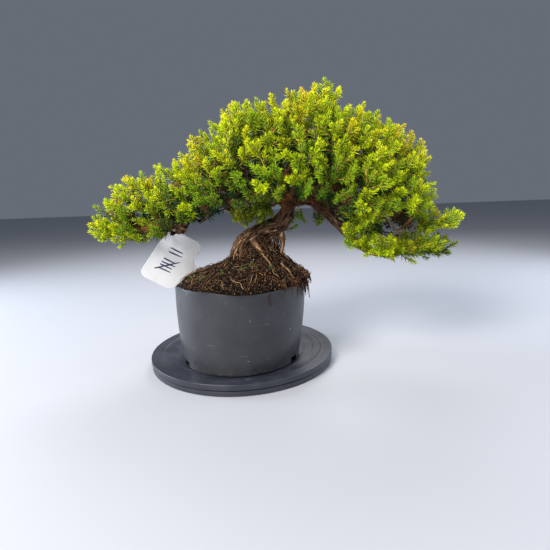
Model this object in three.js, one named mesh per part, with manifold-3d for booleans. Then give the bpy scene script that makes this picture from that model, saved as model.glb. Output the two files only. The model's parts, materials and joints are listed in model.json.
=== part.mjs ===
// A small garden juniper trained as a bonsai: a leaning trunk with a long low limb to the left and a
// broad crown that droops to the right, in a round nursery pot that was cut down, on a two-disc turntable.
// Millimetres, +Z up. The origin is on the underside of the turntable, on its axis. +X is the viewer's
// right and -Y faces the viewer.
import * as THREE from "three";
import { mergeVertices } from "three/addons/utils/BufferGeometryUtils.js";
import Module from "manifold-3d";

const wasm = await Module();
wasm.setup();

// Clearance between pieces that touch in the real object.
const SEAT_GAP = 0.3;
const HOLE_GAP = 0.4;

// Turntable: two discs that turn on a pin and a ring of balls.
const DISC_RADIUS = 100;
const DISC_EDGE = 0.9;
const SMALL_EDGE = 0.5;
const BASE_RADIUS = 99.4;
const BASE_TOP = 5.4;
const PLATE_BOTTOM = 6.2;
const PLATE_TOP = 12;
const RACE_INNER = 66;
const RACE_OUTER = 72;
const RACE_DEPTH = 2.1;
const BALL_RADIUS = 2.2;
const BALL_COUNT = 6;
const CAGE_RADIUS = 1.1;
const CAGE_SIDES = 18;
const PIN_RADIUS = 6;
const PIN_BORE_DEPTH = 3.8;
const PIN_SIDES = 24;
// Moulded rings in the plate's upper face: a wide shallow step and a fine line inside it.
const STEP_OUTER = 88;
const STEP_INNER = 79;
const STEP_DEPTH = 0.7;
const LINE_OUTER = 69.6;
const LINE_INNER = 68;
const LINE_DEPTH = 0.5;

// Nursery pot, cut down by hand, standing towards the front of the turntable.
const POT_Y = -24;
const POT_FOOT = PLATE_TOP + SEAT_GAP;
const POT_FOOT_RADIUS = 61;
const POT_RIM_RADIUS = 66.7;
const POT_RIM = 92.5;
// The rim was cut by hand: how far it stands above or below its level, by bearing from +X in degrees.
const RIM_CUT = [[-180, -2.5], [-150, 2], [-115, 2], [-85, -1], [-45, 0.4], [-20, -1.5], [10, -3.5], [60, -1],
  [120, -0.5], [180, -2.5]];
const POT_WALL = 1;
const POT_BULGE_TOP = 76;
// The soft pot is pushed a little to the right at its rim.
const POT_PUSH = 0.028;
// Its floor is raised in the middle, so that it stands on a ring with slots through the ring's corner.
const POT_FLOOR = POT_FOOT + 3;
const POT_FLOOR_THICK = 1.2;
const POT_FLOOR_RADIUS = 48.5;
const POT_STEP_RADIUS = 51.5;
const POT_FOOT_EDGE = 1.1;
const SLOT_BEARINGS = [-30, -150, 90];
const SLOT_WIDTH = 12;
const SLOT_HEIGHT = 7;
const SLOT_REACH = 14;
const ROUND_SIDES = 32;

// Soil mound: how far it rises above the rim, how it leans to the right, and the hump round the roots.
const SOIL_BELOW_RIM = 1.9;
const SOIL_REACH = POT_RIM_RADIUS - POT_WALL - 0.45;
const SOIL_SLOPE = 0.55;
const SOIL_SLOPE_RIGHT = 0.35;
const OVERHANG = 8;
const OVERHANG_THICK = 7;
const OVERHANG_TURN = 62;
const SOIL_RINGS = 7;
const MOUND_RISE = 24;
const MOUND_LEAN = 5;
const HUMP = { x: 25, y: -22, rise: 17, spreadX: 18, spreadY: 15 };

// Plant label of sheet plastic, pushed into the soil at a slant.
const LABEL = {
  length: 70,
  width: 40.2,
  corner: 8,
  neck: 15.5,
  fillet: 9,
  stem: 46,
  point: 16,
  thick: 0.8,
  slant: 37,
  lean: 23,
  centre: [-72.2, -6, 114.1],
};

// Foliage. Needles stand in threes round each shoot, as on the living plant.
const NEEDLE_LENGTH = 6.5;
const NEEDLE_LEAN = 47;
const NEEDLE_RADIUS = 0.45;
const WHORL_STEP = 3.7;
const SHOOT_RADIUS = 1;
const SPRAY_LENGTH = 45;
const SHORTEST_SPRAY = 33;
const BARE_SHARE = 0.32;
const LEADER_WHORLS = 6;
const SIDE_BANDS = [1, 3, 4, 6];
const SIDE_LENGTH = 19;
const SIDE_BARE = 0.36;
const SIDE_WHORLS = 3;
const SIDE_LEAN = 48;
const LEADER_SPACE = 1.2;
const SIDE_SPACE = 6;
const GAP_TO_OTHERS = 0.55;
const GAP_IN_SPRAY = 0.3;
const TWIG_RADII = [1.9, 1.6, 1.3, 1.1];
// How far a twig keeps to the limb's and the spray's direction, as shares of its length, first choice first.
const TWIG_EASE = [0.4, 0.2, 0.05];

const vec = (x, y, z) => new THREE.Vector3(x, y, z);
const radians = (degrees) => (degrees * Math.PI) / 180;
const between = (from, to, share) => from + (to - from) * share;

// A repeatable random draw between 0 and 1.
function makeRandom(seed) {
  let state = seed >>> 0;
  return () => {
    state = (Math.imul(state, 1664525) + 1013904223) >>> 0;
    return state / 4294967296;
  };
}

// Geometry to and from a solid that can be cut and joined.
function solidFrom(positions, triangles) {
  const build = (faces) =>
    new wasm.Manifold(
      new wasm.Mesh({
        numProp: 3,
        vertProperties: new Float32Array(positions),
        triVerts: new Uint32Array(faces),
      }),
    );
  const solid = build(triangles);
  if (solid.volume() > 0) return solid;
  const turned = [];
  for (let i = 0; i < triangles.length; i += 3) {
    turned.push(triangles[i], triangles[i + 2], triangles[i + 1]);
  }
  return build(turned);
}

function solidOf(geometry) {
  const plain = geometry.index ? geometry.toNonIndexed() : geometry.clone();
  plain.deleteAttribute("normal");
  plain.deleteAttribute("uv");
  const merged = mergeVertices(plain, 1e-3);
  const corners = merged.index.array;
  const triangles = [];
  for (let i = 0; i < corners.length; i += 3) {
    const [a, b, c] = [corners[i], corners[i + 1], corners[i + 2]];
    if (a !== b && b !== c && c !== a) triangles.push(a, b, c);
  }
  return solidFrom(merged.attributes.position.array, triangles);
}

function geometryOf(solid) {
  const mesh = solid.getMesh();
  const positions = [];
  for (let i = 0; i < mesh.numVert; i++) {
    const at = i * mesh.numProp;
    positions.push(...mesh.vertProperties.subarray(at, at + 3));
  }
  const geometry = new THREE.BufferGeometry();
  geometry.setAttribute("position", new THREE.Float32BufferAttribute(positions, 3));
  geometry.setIndex([...mesh.triVerts]);
  geometry.computeVertexNormals();
  return geometry;
}

// A turned piece from [radius, height] pairs that start and end on the axis.
function lathe(profile, sides = ROUND_SIDES) {
  const points = profile.map(([radius, height]) => new THREE.Vector2(radius, height));
  return new THREE.LatheGeometry(points, sides).rotateX(Math.PI / 2);
}

// Moves a geometry's corners up or down by a rule of their place.
function lifted(geometry, rule) {
  const place = geometry.attributes.position;
  for (let i = 0; i < place.count; i++) {
    place.setZ(i, rule(place.getX(i), place.getY(i), place.getZ(i)));
  }
  return geometry;
}

// Turntable.
function turntableBase() {
  const bore = PIN_RADIUS + SEAT_GAP;
  return solidOf(
    lathe([
      [0, 0],
      [BASE_RADIUS - DISC_EDGE, 0],
      [BASE_RADIUS, DISC_EDGE],
      [BASE_RADIUS, BASE_TOP - SMALL_EDGE],
      [BASE_RADIUS - SMALL_EDGE, BASE_TOP],
      [RACE_OUTER, BASE_TOP],
      [RACE_OUTER, BASE_TOP - RACE_DEPTH],
      [RACE_INNER, BASE_TOP - RACE_DEPTH],
      [RACE_INNER, BASE_TOP],
      [bore, BASE_TOP],
      [bore, BASE_TOP - PIN_BORE_DEPTH],
      [0, BASE_TOP - PIN_BORE_DEPTH],
    ]),
  );
}

function turntablePlate() {
  const bore = PIN_RADIUS + SEAT_GAP;
  return solidOf(
    lathe([
      [0, PLATE_BOTTOM + PIN_BORE_DEPTH],
      [bore, PLATE_BOTTOM + PIN_BORE_DEPTH],
      [bore, PLATE_BOTTOM],
      [RACE_INNER, PLATE_BOTTOM],
      [RACE_INNER, PLATE_BOTTOM + RACE_DEPTH],
      [RACE_OUTER, PLATE_BOTTOM + RACE_DEPTH],
      [RACE_OUTER, PLATE_BOTTOM],
      [DISC_RADIUS - SMALL_EDGE, PLATE_BOTTOM],
      [DISC_RADIUS, PLATE_BOTTOM + SMALL_EDGE],
      [DISC_RADIUS, PLATE_TOP - DISC_EDGE],
      [DISC_RADIUS - DISC_EDGE, PLATE_TOP],
      [STEP_OUTER, PLATE_TOP],
      [STEP_OUTER - SMALL_EDGE, PLATE_TOP - STEP_DEPTH],
      [STEP_INNER + SMALL_EDGE, PLATE_TOP - STEP_DEPTH],
      [STEP_INNER, PLATE_TOP],
      [LINE_OUTER, PLATE_TOP],
      [(LINE_OUTER + LINE_INNER) / 2, PLATE_TOP - LINE_DEPTH],
      [LINE_INNER, PLATE_TOP],
      [0, PLATE_TOP],
    ]),
  );
}

function pivotPin() {
  const bottom = BASE_TOP - PIN_BORE_DEPTH + SEAT_GAP;
  const top = PLATE_BOTTOM + PIN_BORE_DEPTH - SEAT_GAP;
  const profile = [
    [0, bottom],
    [PIN_RADIUS, bottom],
    [PIN_RADIUS, top],
    [0, top],
  ];
  return solidOf(lathe(profile, PIN_SIDES));
}

// Steel balls held in a ring that runs between the two race grooves.
function bearingRing() {
  const middle = (RACE_INNER + RACE_OUTER) / 2;
  const height = (BASE_TOP + PLATE_BOTTOM) / 2;
  const cage = new THREE.TorusGeometry(middle, CAGE_RADIUS, 4, CAGE_SIDES).translate(0, 0, height);
  const pieces = [solidOf(cage)];
  for (let i = 0; i < BALL_COUNT; i++) {
    const angle = (2 * Math.PI * i) / BALL_COUNT;
    const ball = new THREE.IcosahedronGeometry(BALL_RADIUS, 0);
    ball.translate(middle * Math.cos(angle), middle * Math.sin(angle), height);
    pieces.push(solidOf(ball));
  }
  return wasm.Manifold.union(pieces);
}

function rimLift(x, y) {
  const bearing = (Math.atan2(y, x) * 180) / Math.PI;
  const next = Math.max(1, RIM_CUT.findIndex(([end]) => end >= bearing));
  const [from, low] = RIM_CUT[next - 1];
  const [to, high] = RIM_CUT[next];
  return between(low, high, THREE.MathUtils.smoothstep(bearing, from, to));
}

// The wall swells as it rises and is upright over its top quarter.
function potRadius(height) {
  const below = Math.max(0, (POT_BULGE_TOP - height) / (POT_BULGE_TOP - POT_FOOT));
  return between(POT_RIM_RADIUS, POT_FOOT_RADIUS, below ** 1.5);
}

function pushed(geometry) {
  geometry.translate(0, 0, -POT_FOOT);
  return geometry.applyMatrix4(new THREE.Matrix4().makeShear(0, 0, 0, 0, POT_PUSH, 0)).translate(0, 0, POT_FOOT);
}

function nurseryPot() {
  const inner = POT_FOOT + POT_FLOOR_THICK;
  const heights = [between(POT_FOOT, POT_RIM, 0.3), between(POT_FOOT, POT_RIM, 0.6), POT_RIM];
  const shell = lathe([
    [0, POT_FLOOR],
    [POT_FLOOR_RADIUS, POT_FLOOR],
    [POT_STEP_RADIUS, POT_FOOT],
    [POT_FOOT_RADIUS - POT_FOOT_EDGE, POT_FOOT],
    [POT_FOOT_RADIUS, POT_FOOT + POT_FOOT_EDGE],
    ...heights.map((height) => [potRadius(height), height]),
    ...heights.toReversed().map((height) => [potRadius(height) - POT_WALL, height]),
    [POT_FOOT_RADIUS - POT_WALL, POT_FOOT + 2],
    [POT_FOOT_RADIUS - 2, inner],
    [POT_STEP_RADIUS + 0.6, inner],
    [POT_FLOOR_RADIUS + 0.4, POT_FLOOR + POT_FLOOR_THICK],
    [0, POT_FLOOR + POT_FLOOR_THICK],
  ]);
  lifted(shell, (x, y, z) => (z > POT_RIM - 1 ? z + rimLift(x, y) : z));
  let pot = solidOf(pushed(shell));
  SLOT_BEARINGS.forEach((bearing) => {
    const slot = new THREE.BoxGeometry(SLOT_REACH, SLOT_WIDTH, 2 * SLOT_HEIGHT);
    slot.translate(POT_FOOT_RADIUS, 0, POT_FOOT).rotateZ(radians(bearing));
    pot = pot.subtract(solidOf(slot));
  });
  return pot.translate([0, POT_Y, 0]);
}

// Height of the soil over a point, both from the pot's axis. It falls steeply on the right, where the
// roots hold it.
function soilHeight(x, y) {
  const share = Math.max(0, 1 - (x * x + y * y) / (SOIL_REACH * SOIL_REACH));
  const toRight = x / Math.max(1, Math.hypot(x, y));
  const steepness = SOIL_SLOPE + (SOIL_SLOPE_RIGHT - SOIL_SLOPE) * toRight;
  const offX = (x - HUMP.x) / HUMP.spreadX;
  const offY = (y + POT_Y - HUMP.y) / HUMP.spreadY;
  const hump = HUMP.rise * Math.exp(-(offX * offX + offY * offY) / 2);
  const lumps = 0.9 * Math.sin(0.31 * x + 0.7) * Math.sin(0.27 * y) + 0.6 * Math.sin(0.53 * x - 0.41 * y);
  const mound = MOUND_RISE * share ** steepness + MOUND_LEAN * (x / SOIL_REACH) * share ** 0.3;
  return POT_RIM - SOIL_BELOW_RIM + rimLift(x, y) + mound + hump + lumps * share ** 0.5;
}

// How far the mat of roots hangs over the rim, from 0 to 1. It does so on the right alone.
function overhang(x, y) {
  const turn = Math.abs(Math.atan2(y, x)) / radians(OVERHANG_TURN);
  return turn < 1 ? Math.cos((turn * Math.PI) / 2) ** 2 : 0;
}

// The root ball fills the pot, with the mound on top and a mat of roots over the rim.
function soilPlug() {
  const floor = POT_FLOOR + POT_FLOOR_THICK + SEAT_GAP;
  const edge = 1.001 * POT_RIM;
  const mat = 1.002 * POT_RIM;
  const profile = [
    [0, floor],
    [POT_FLOOR_RADIUS, floor],
    [potRadius(floor + 1) - POT_WALL - 0.6, floor + 1],
    [SOIL_REACH, edge],
    [SOIL_REACH - 1, mat],
  ];
  for (let r = 1; r <= SOIL_RINGS; r++) {
    profile.push([SOIL_REACH * (1 - (r / SOIL_RINGS) ** 1.2), POT_RIM]);
  }
  const plug = lathe(profile);
  const place = plug.attributes.position;
  for (let i = 0; i < place.count; i++) {
    const [x, y, z] = [place.getX(i), place.getY(i), place.getZ(i)];
    const over = overhang(x, y);
    const rim = POT_RIM + rimLift(x, y);
    if (Math.abs(z - edge) < 0.01) {
      place.setZ(i, rim + between(-SOIL_BELOW_RIM, 0.6, Math.min(1, 3 * over)));
    } else if (Math.abs(z - mat) < 0.01) {
      const stretch = 1 + ((OVERHANG + 1) * over) / (SOIL_REACH - 1);
      place.setXYZ(i, x * stretch, y * stretch, between(soilHeight(x, y), rim + OVERHANG_THICK, over));
    } else if (Math.abs(z - POT_RIM) < 0.01) {
      place.setZ(i, soilHeight(x, y));
    }
  }
  return solidOf(pushed(plug)).translate([0, POT_Y, 0]);
}

// The label faces the viewer and leans forward, its stem pointing down to the right into the soil.
function plantLabel(grow = 0) {
  const { length, width, corner, neck, fillet, stem, point, thick, slant, lean, centre } = LABEL;
  const half = length / 2 + grow;
  const wide = width / 2 + grow;
  const round = corner + grow;
  const waist = neck / 2 + grow;
  const tip = wide + stem;
  const quarter = Math.PI / 2;
  const shape = new THREE.Shape();
  shape.absarc(wide - round, round - half, round, -quarter, 0, false);
  shape.absarc(wide + fillet, -waist - fillet, fillet, 2 * quarter, quarter, true);
  shape.lineTo(tip - point, 2 - waist);
  shape.lineTo(tip, -1);
  shape.lineTo(tip, 1);
  shape.lineTo(tip - point, waist - 2);
  shape.absarc(wide + fillet, waist + fillet, fillet, -quarter, -2 * quarter, true);
  shape.absarc(wide - round, half - round, round, 0, quarter, false);
  shape.absarc(round - wide, half - round, round, quarter, 2 * quarter, false);
  shape.absarc(round - wide, round - half, round, 2 * quarter, 3 * quarter, false);
  const depth = thick + 2 * grow;
  const sheet = new THREE.ExtrudeGeometry(shape, { depth, bevelEnabled: false, curveSegments: 3 });
  sheet.translate(0, 0, -depth / 2).rotateX(quarter).rotateY(radians(slant)).rotateX(radians(lean));
  return solidOf(sheet.translate(...centre));
}

// Directions along a line of points, with a cross direction that turns as little as it can.
function framesAlong(points, { firstAcross, lastAlong } = {}) {
  const last = points.length - 1;
  const frames = points.map((at, i) => ({
    at,
    along: points[Math.min(i + 1, last)].clone().sub(points[Math.max(i - 1, 0)]).normalize(),
  }));
  if (lastAlong) frames[last].along = lastAlong;
  let before = frames[0].along;
  let across = firstAcross ?? (Math.abs(before.z) > 0.9 ? vec(0, 1, 0) : vec(0, 0, 1));
  across = across.clone().addScaledVector(before, -across.dot(before)).normalize();
  frames.forEach((frame) => {
    const turn = new THREE.Quaternion().setFromUnitVectors(before, frame.along);
    across = across.clone().applyQuaternion(turn);
    before = frame.along;
    frame.across = across;
    frame.side = frame.along.clone().cross(across);
  });
  return frames;
}

function outward(frame, angle) {
  return frame.across.clone().multiplyScalar(Math.cos(angle)).addScaledVector(frame.side, Math.sin(angle));
}

function lean(frame, angle, degrees) {
  const along = frame.along.clone().multiplyScalar(Math.cos(radians(degrees)));
  return along.addScaledVector(outward(frame, angle), Math.sin(radians(degrees)));
}

// A woody stem: a tapered tube with flat ends and a slightly lobed section.
function stem(points, radii, sides, lobe = 0, lastAlong = undefined) {
  const positions = [];
  const triangles = [];
  framesAlong(points, { lastAlong }).forEach((frame, i) => {
    for (let s = 0; s < sides; s++) {
      const angle = (2 * Math.PI * s) / sides;
      const swell = 1 + lobe * (Math.sin(2 * angle + 0.5 * i) + 0.6 * Math.sin(3 * angle - 0.9 * i));
      positions.push(...frame.at.clone().addScaledVector(outward(frame, angle), radii[i] * swell));
    }
  });
  for (let i = 0; i < points.length - 1; i++) {
    for (let s = 0; s < sides; s++) {
      const a = i * sides + s;
      const b = i * sides + ((s + 1) % sides);
      triangles.push(a, b, b + sides, a, b + sides, a + sides);
    }
  }
  const end = (points.length - 1) * sides;
  for (let s = 1; s < sides - 1; s++) {
    triangles.push(0, s + 1, s, end, end + s, end + s + 1);
  }
  return solidFrom(positions, triangles);
}

// Wood. Each limb has its centre line from the fork outwards and its radius at both ends.
const FORK = [58, -22, 172];
const TRUNK = {
  line: [[1, -23, 98], [0, -23.5, 110], [2, -24, 120], [6, -24.5, 131], [14, -25, 138], [24, -25, 142],
    [35, -25, 146], [45, -24.5, 149], [50, -24, 156], [54, -23, 164], FORK, [60, -21.5, 178]],
  radii: [8.4, 7.8, 7, 6.8, 6.7, 6.6, 6.6, 7.4, 6.4, 6, 6.2, 4],
  sides: 9,
  lobe: 0.07,
  steps: 17,
  buried: 9,
};
const LIMBS = [
  { line: [FORK, [42, -22, 177], [15, -25, 180], [-12, -27, 178], [-36, -28, 171], [-58, -28, 162],
    [-78, -29, 154], [-93, -30, 150]], from: 4.6, to: 1.8 },
  { line: [FORK, [76, -25, 173], [92, -29, 160], [106, -33, 145], [118, -36, 130], [134, -38, 119],
    [150, -38, 115], [166, -37, 116]], from: 6, to: 2.2 },
  { line: [FORK, [50, -20, 188], [36, -22, 208], [18, -24, 224], [2, -24, 236]], from: 3.4, to: 1.6 },
  { line: [FORK, [60, -34, 190], [56, -48, 204], [50, -60, 214]], from: 3.2, to: 1.6 },
  { line: [FORK, [64, -22, 195], [72, -24, 220], [84, -24, 242]], from: 3.4, to: 1.6 },
  { line: [FORK, [62, -6, 190], [60, 8, 206], [56, 20, 220]], from: 3.2, to: 1.6 },
  { line: [[70, -24, 175], [92, -38, 190], [114, -50, 200], [136, -58, 206]], from: 3.4, to: 1.6 },
  { line: [[62, -21, 180], [90, -16, 204], [116, -14, 222], [138, -16, 232]], from: 3.2, to: 1.6 },
  { line: [[74, -25, 174], [108, -22, 186], [142, -24, 195], [170, -26, 202]], from: 3.4, to: 1.6 },
  { line: [[64, -20, 176], [92, 2, 190], [118, 14, 200], [142, 18, 206]], from: 3.2, to: 1.6 },
];
// A dead spur that hangs under the right of the crown, forked at its end.
const DEAD_SPURS = [
  { line: [[126, -23, 190], [140, -27, 172], [152, -34, 155], [161, -38, 138]], from: 2.4, to: 1.7 },
  { line: [[159, -37, 143], [163, -39, 138], [169, -40, 137]], from: 1.6, to: 1.2 },
];
// Roots that leave the trunk above the soil: one arched behind the bend, one running down the front.
const BARE_ROOTS = [
  { line: [[43, -26, 145], [47, -27, 137], [48, -28, 129], [45, -29, 119], [43, -29, 110]], from: 2.6, to: 1.7 },
  { line: [[17, -29, 136], [22, -37, 127], [28, -42, 119], [35, -46, 111], [40, -48, 104]], from: 1.6, to: 1 },
];

// The crown's outer surface: arches over the limbs at stations along X, each with the height of its top,
// the height of its open lower edge, its reach to front and back, and the slopes, in degrees up from the
// front, at which sprays grow out to it.
const CROWN_Y = -24;
const STATIONS = [
  { x: -124, top: 181, low: 150, front: 24, back: 20, slopes: [50, 115] },
  { x: -94, top: 199, low: 148, front: 32, back: 28, slopes: [35, 85, 145] },
  { x: -60, top: 208, low: 156, front: 38, back: 32, slopes: [25, 80, 135] },
  { x: -26, top: 238, low: 168, front: 48, back: 38, slopes: [12, 40, 90, 145] },
  { x: 4, top: 261, low: 180, front: 60, back: 48, slopes: [18, 65, 100] },
  { x: 36, top: 269, low: 186, front: 70, back: 56, slopes: [8, 40, 85, 140] },
  { x: 68, top: 273, low: 186, front: 78, back: 60, slopes: [15, 60, 95, 155] },
  { x: 98, top: 277, low: 176, front: 80, back: 62, slopes: [6, 35, 85, 125] },
  { x: 128, top: 254, low: 156, front: 80, back: 62, slopes: [12, 55, 95, 150] },
  { x: 156, top: 243, low: 142, front: 72, back: 56, slopes: [30, 78, 130] },
  { x: 180, top: 224, low: 130, front: 58, back: 44, slopes: [12, 55, 95, 145] },
  { x: 196, top: 186, low: 128, front: 42, back: 32, slopes: [70] },
];
// Sprays that reach past the arches or grow low on the trunk, each with its root and its tip.
const LOOSE_SPRAYS = [
  { root: [-101, -31, 150], tip: [-138, -32, 160] },
  { root: [182, -38, 148], tip: [221, -40, 156] },
  { root: [175, -36, 119], tip: [213, -34, 122] },
  { root: [126, -49, 129], tip: [117, -65, 160] },
  { root: [164, -44, 119], tip: [186, -58, 138] },
  { root: [38, -37, 170], tip: [2, -42, 163] },
  { root: [64, -36, 168], tip: [81, -40, 155] },
  { root: [147, -45, 118], tip: [138, -69, 127] },
];

function limbPoints({ line }, spacing) {
  const curve = new THREE.CatmullRomCurve3(line.map((p) => vec(...p)), false, "centripetal");
  return curve.getPoints(Math.max(3, Math.round(curve.getLength() / spacing)));
}

function taper({ from, to }, count) {
  return Array.from({ length: count }, (_, i) => between(from, to, i / (count - 1)));
}

function trunkRadii() {
  const { radii, steps } = TRUNK;
  return Array.from({ length: steps + 1 }, (_, i) => {
    const at = (i / steps) * (radii.length - 1);
    const low = Math.min(Math.floor(at), radii.length - 2);
    return between(radii[low], radii[low + 1], at - low);
  });
}

// Where the sprays end, and the way each one would grow: away from the fork, outwards and up.
function sprayPlaces() {
  const random = makeRandom(7);
  const fork = vec(...FORK);
  const places = [];
  STATIONS.forEach((station) => {
    station.slopes.forEach((slope) => {
      const angle = radians(slope + 8 * (random() - 0.5));
      const reach = Math.cos(angle) > 0 ? station.front : station.back;
      const height = between(station.low, station.top, Math.sin(angle) ** 0.8);
      const tip = vec(station.x + 8 * (random() - 0.5), CROWN_Y - reach * Math.cos(angle), height);
      const grow = tip.clone().sub(fork).normalize().multiplyScalar(0.55);
      grow.add(vec(0, -0.5 * Math.cos(angle), 0.5 * Math.sin(angle) + 0.3)).normalize();
      const headroom = (height - station.low + 2) / Math.max(0.1, grow.z);
      places.push({ tip, grow, length: THREE.MathUtils.clamp(headroom, SHORTEST_SPRAY, SPRAY_LENGTH) });
    });
  });
  LOOSE_SPRAYS.forEach(({ root, tip }) => {
    const reach = vec(...tip).sub(vec(...root));
    places.push({ tip: vec(...tip), grow: reach.clone().normalize(), length: reach.length() });
  });
  return places;
}

// Stretches that other shoots and needles keep clear of, each with its node, shoot and radius.
const held = [];

function hold(node, shoot, points, radius) {
  for (let i = 0; i < points.length - 1; i++) {
    held.push({ node, shoot, a: points[i], b: points[i + 1], radius });
  }
}

function distanceApart(a, b, c, d) {
  const u = b.clone().sub(a);
  const v = d.clone().sub(c);
  const w = a.clone().sub(c);
  const uu = u.dot(u);
  const uv = u.dot(v);
  const vv = v.dot(v);
  const uw = u.dot(w);
  const vw = v.dot(w);
  const clamp = (t) => Math.min(1, Math.max(0, t));
  const spread = uu * vv - uv * uv;
  let s = spread > 1e-9 ? clamp((uv * vw - vv * uw) / spread) : 0;
  const t = clamp((uv * s + vw) / vv);
  s = clamp((uv * t - uw) / uu);
  return w.addScaledVector(u, s).addScaledVector(v, -t).length();
}

// How much room a line of points has to the nearest stretch that the choice takes in.
function roomFor(points, radius, choose, gap = GAP_TO_OTHERS) {
  let least = Infinity;
  held.filter(choose).forEach((other) => {
    for (let i = 0; i < points.length - 1; i++) {
      const apart = distanceApart(points[i], points[i + 1], other.a, other.b);
      least = Math.min(least, apart - other.radius - radius - gap);
    }
  });
  return least;
}

// The leader of a spray, with two long bare stretches and then a ring for every whorl.
function leaderTo(tip, grow, length) {
  const root = tip.clone().addScaledVector(grow, -length).add(vec(0, 0, -2));
  const lead = root.clone().addScaledVector(grow, length * 0.35);
  const arrive = tip.clone().addScaledVector(grow, -length * 0.3).add(vec(0, 0, -1));
  const curve = new THREE.CubicBezierCurve3(root, lead, arrive, tip);
  const shares = [0, BARE_SHARE / 2];
  for (let i = 0; i <= LEADER_WHORLS; i++) shares.push(between(BARE_SHARE, 1, i / LEADER_WHORLS));
  return shares.map((share) => curve.getPointAt(share));
}

// Grows a leader to its tip, from whichever side leaves it the room it needs.
function clearLeader({ tip, grow, length }) {
  const turns = [[0, 0], [0.25, 0], [-0.25, 0], [0, 0.25], [0, -0.25], [0.45, 0], [-0.45, 0], [0, 0.5], [0, -0.5]];
  const tried = turns.map(([x, y]) => {
    const way = grow.clone().add(vec(x, y, 0)).normalize();
    const leader = leaderTo(tip, way, length);
    return { leader, space: roomFor(leader, SHOOT_RADIUS + LEADER_SPACE, () => true) };
  });
  const best = tried.find(({ space }) => space > 0) ?? tried.sort((a, b) => b.space - a.space)[0];
  return best.leader;
}

// The length that the shortest stretch of a bent stem keeps on the inside of its bends.
function bendRoom(points, radius, lastAlong) {
  const frames = framesAlong(points, { lastAlong });
  const lengths = points.slice(1).map((point, i) => {
    const stretch = point.clone().sub(points[i]);
    const tilts = [frames[i], frames[i + 1]].map(({ along }) => Math.tan(Math.min(1.5, stretch.angleTo(along))));
    return stretch.length() - radius * (tilts[0] + tilts[1]);
  });
  return Math.min(...lengths);
}

// The twig that joins a spray's root to a limb, bent to arrive in the spray's direction. Of the short
// ways there, it takes the first with room for it, or the one with the most.
function twigTo({ node, root, heading }, limbs) {
  const ways = [];
  limbs.forEach((points) => {
    framesAlong(points).slice(1).forEach((frame) => {
      const reach = root.clone().sub(frame.at);
      const away = reach.length();
      ways.push({ frame, away, cost: away * (1 + 0.5 * (1 - reach.dot(frame.along) / away)) });
    });
  });
  ways.sort((a, b) => a.cost - b.cost);
  const end = root.clone().addScaledVector(heading, -SEAT_GAP);
  const tried = ways.slice(0, 24).flatMap(({ frame, away }) =>
    TWIG_EASE.map((ease) => {
      const lead = frame.at.clone().addScaledVector(frame.along, away * ease * 0.75);
      const arrive = end.clone().addScaledVector(heading, -away * ease);
      const points = new THREE.CubicBezierCurve3(frame.at, lead, arrive, end).getPoints(TWIG_RADII.length - 1);
      const room = roomFor(points, TWIG_RADII[1], (other) => other.node !== node && other.node !== "wood");
      return { points, space: Math.min(room, bendRoom(points, TWIG_RADII[0], heading) - TWIG_RADII[0]) };
    }),
  );
  const best = tried.find(({ space }) => space > 0) ?? tried.sort((a, b) => b.space - a.space)[0];
  return best.points;
}

// A side shoot leaves the leader at a slant and bends up towards the light.
function sideLine(frame, angle, length) {
  const first = lean(frame, angle, SIDE_LEAN);
  const then = first.clone().addScaledVector(frame.along, 0.25).add(vec(0, 0, 0.35)).normalize();
  const foot = frame.at.clone().addScaledVector(outward(frame, angle), SHOOT_RADIUS / 2);
  foot.addScaledVector(frame.along, WHORL_STEP / 2);
  const bend = foot.clone().addScaledVector(first, length / 2);
  const curve = new THREE.QuadraticBezierCurve3(foot, bend, bend.clone().addScaledVector(then, length / 2));
  const shares = [0];
  for (let i = 0; i <= SIDE_WHORLS; i++) shares.push(between(SIDE_BARE, 1, i / SIDE_WHORLS));
  return shares.map((share) => curve.getPointAt(share));
}

const facetAngle = (band, k) => ((2 * k + band + 1) * Math.PI) / 3;

// Chooses, for each band that carries one, the facet that a side shoot grows from.
function placeSideShoots(spray, random) {
  const frames = framesAlong(spray.leader);
  spray.sides = [];
  const start = Math.floor(3 * random());
  SIDE_BANDS.forEach((band, j) => {
    const length = SIDE_LENGTH * (1.08 - 0.06 * j) * (0.9 + 0.2 * random());
    const options = [0, 1, 2].map((n) => {
      const k = (start + 2 * j + n) % 3;
      const line = sideLine(frames[band], facetAngle(band, k), length);
      const apart = spray.sides.map((other) =>
        distanceApart(line[1], line.at(-1), other.line[1], other.line.at(-1)) - SIDE_SPACE);
      const space = roomFor(line, SHOOT_RADIUS, (other) => other.node !== spray.node);
      return { band, k, line, space: Math.min(space, ...apart) };
    });
    const clear = options.find(({ space }) => space > 1.2) ?? options.find(({ space }) => space > 0);
    if (!clear) return;
    spray.sides.push(clear);
    hold(spray.node, j + 1, clear.line, SHOOT_RADIUS);
  });
}

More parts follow.
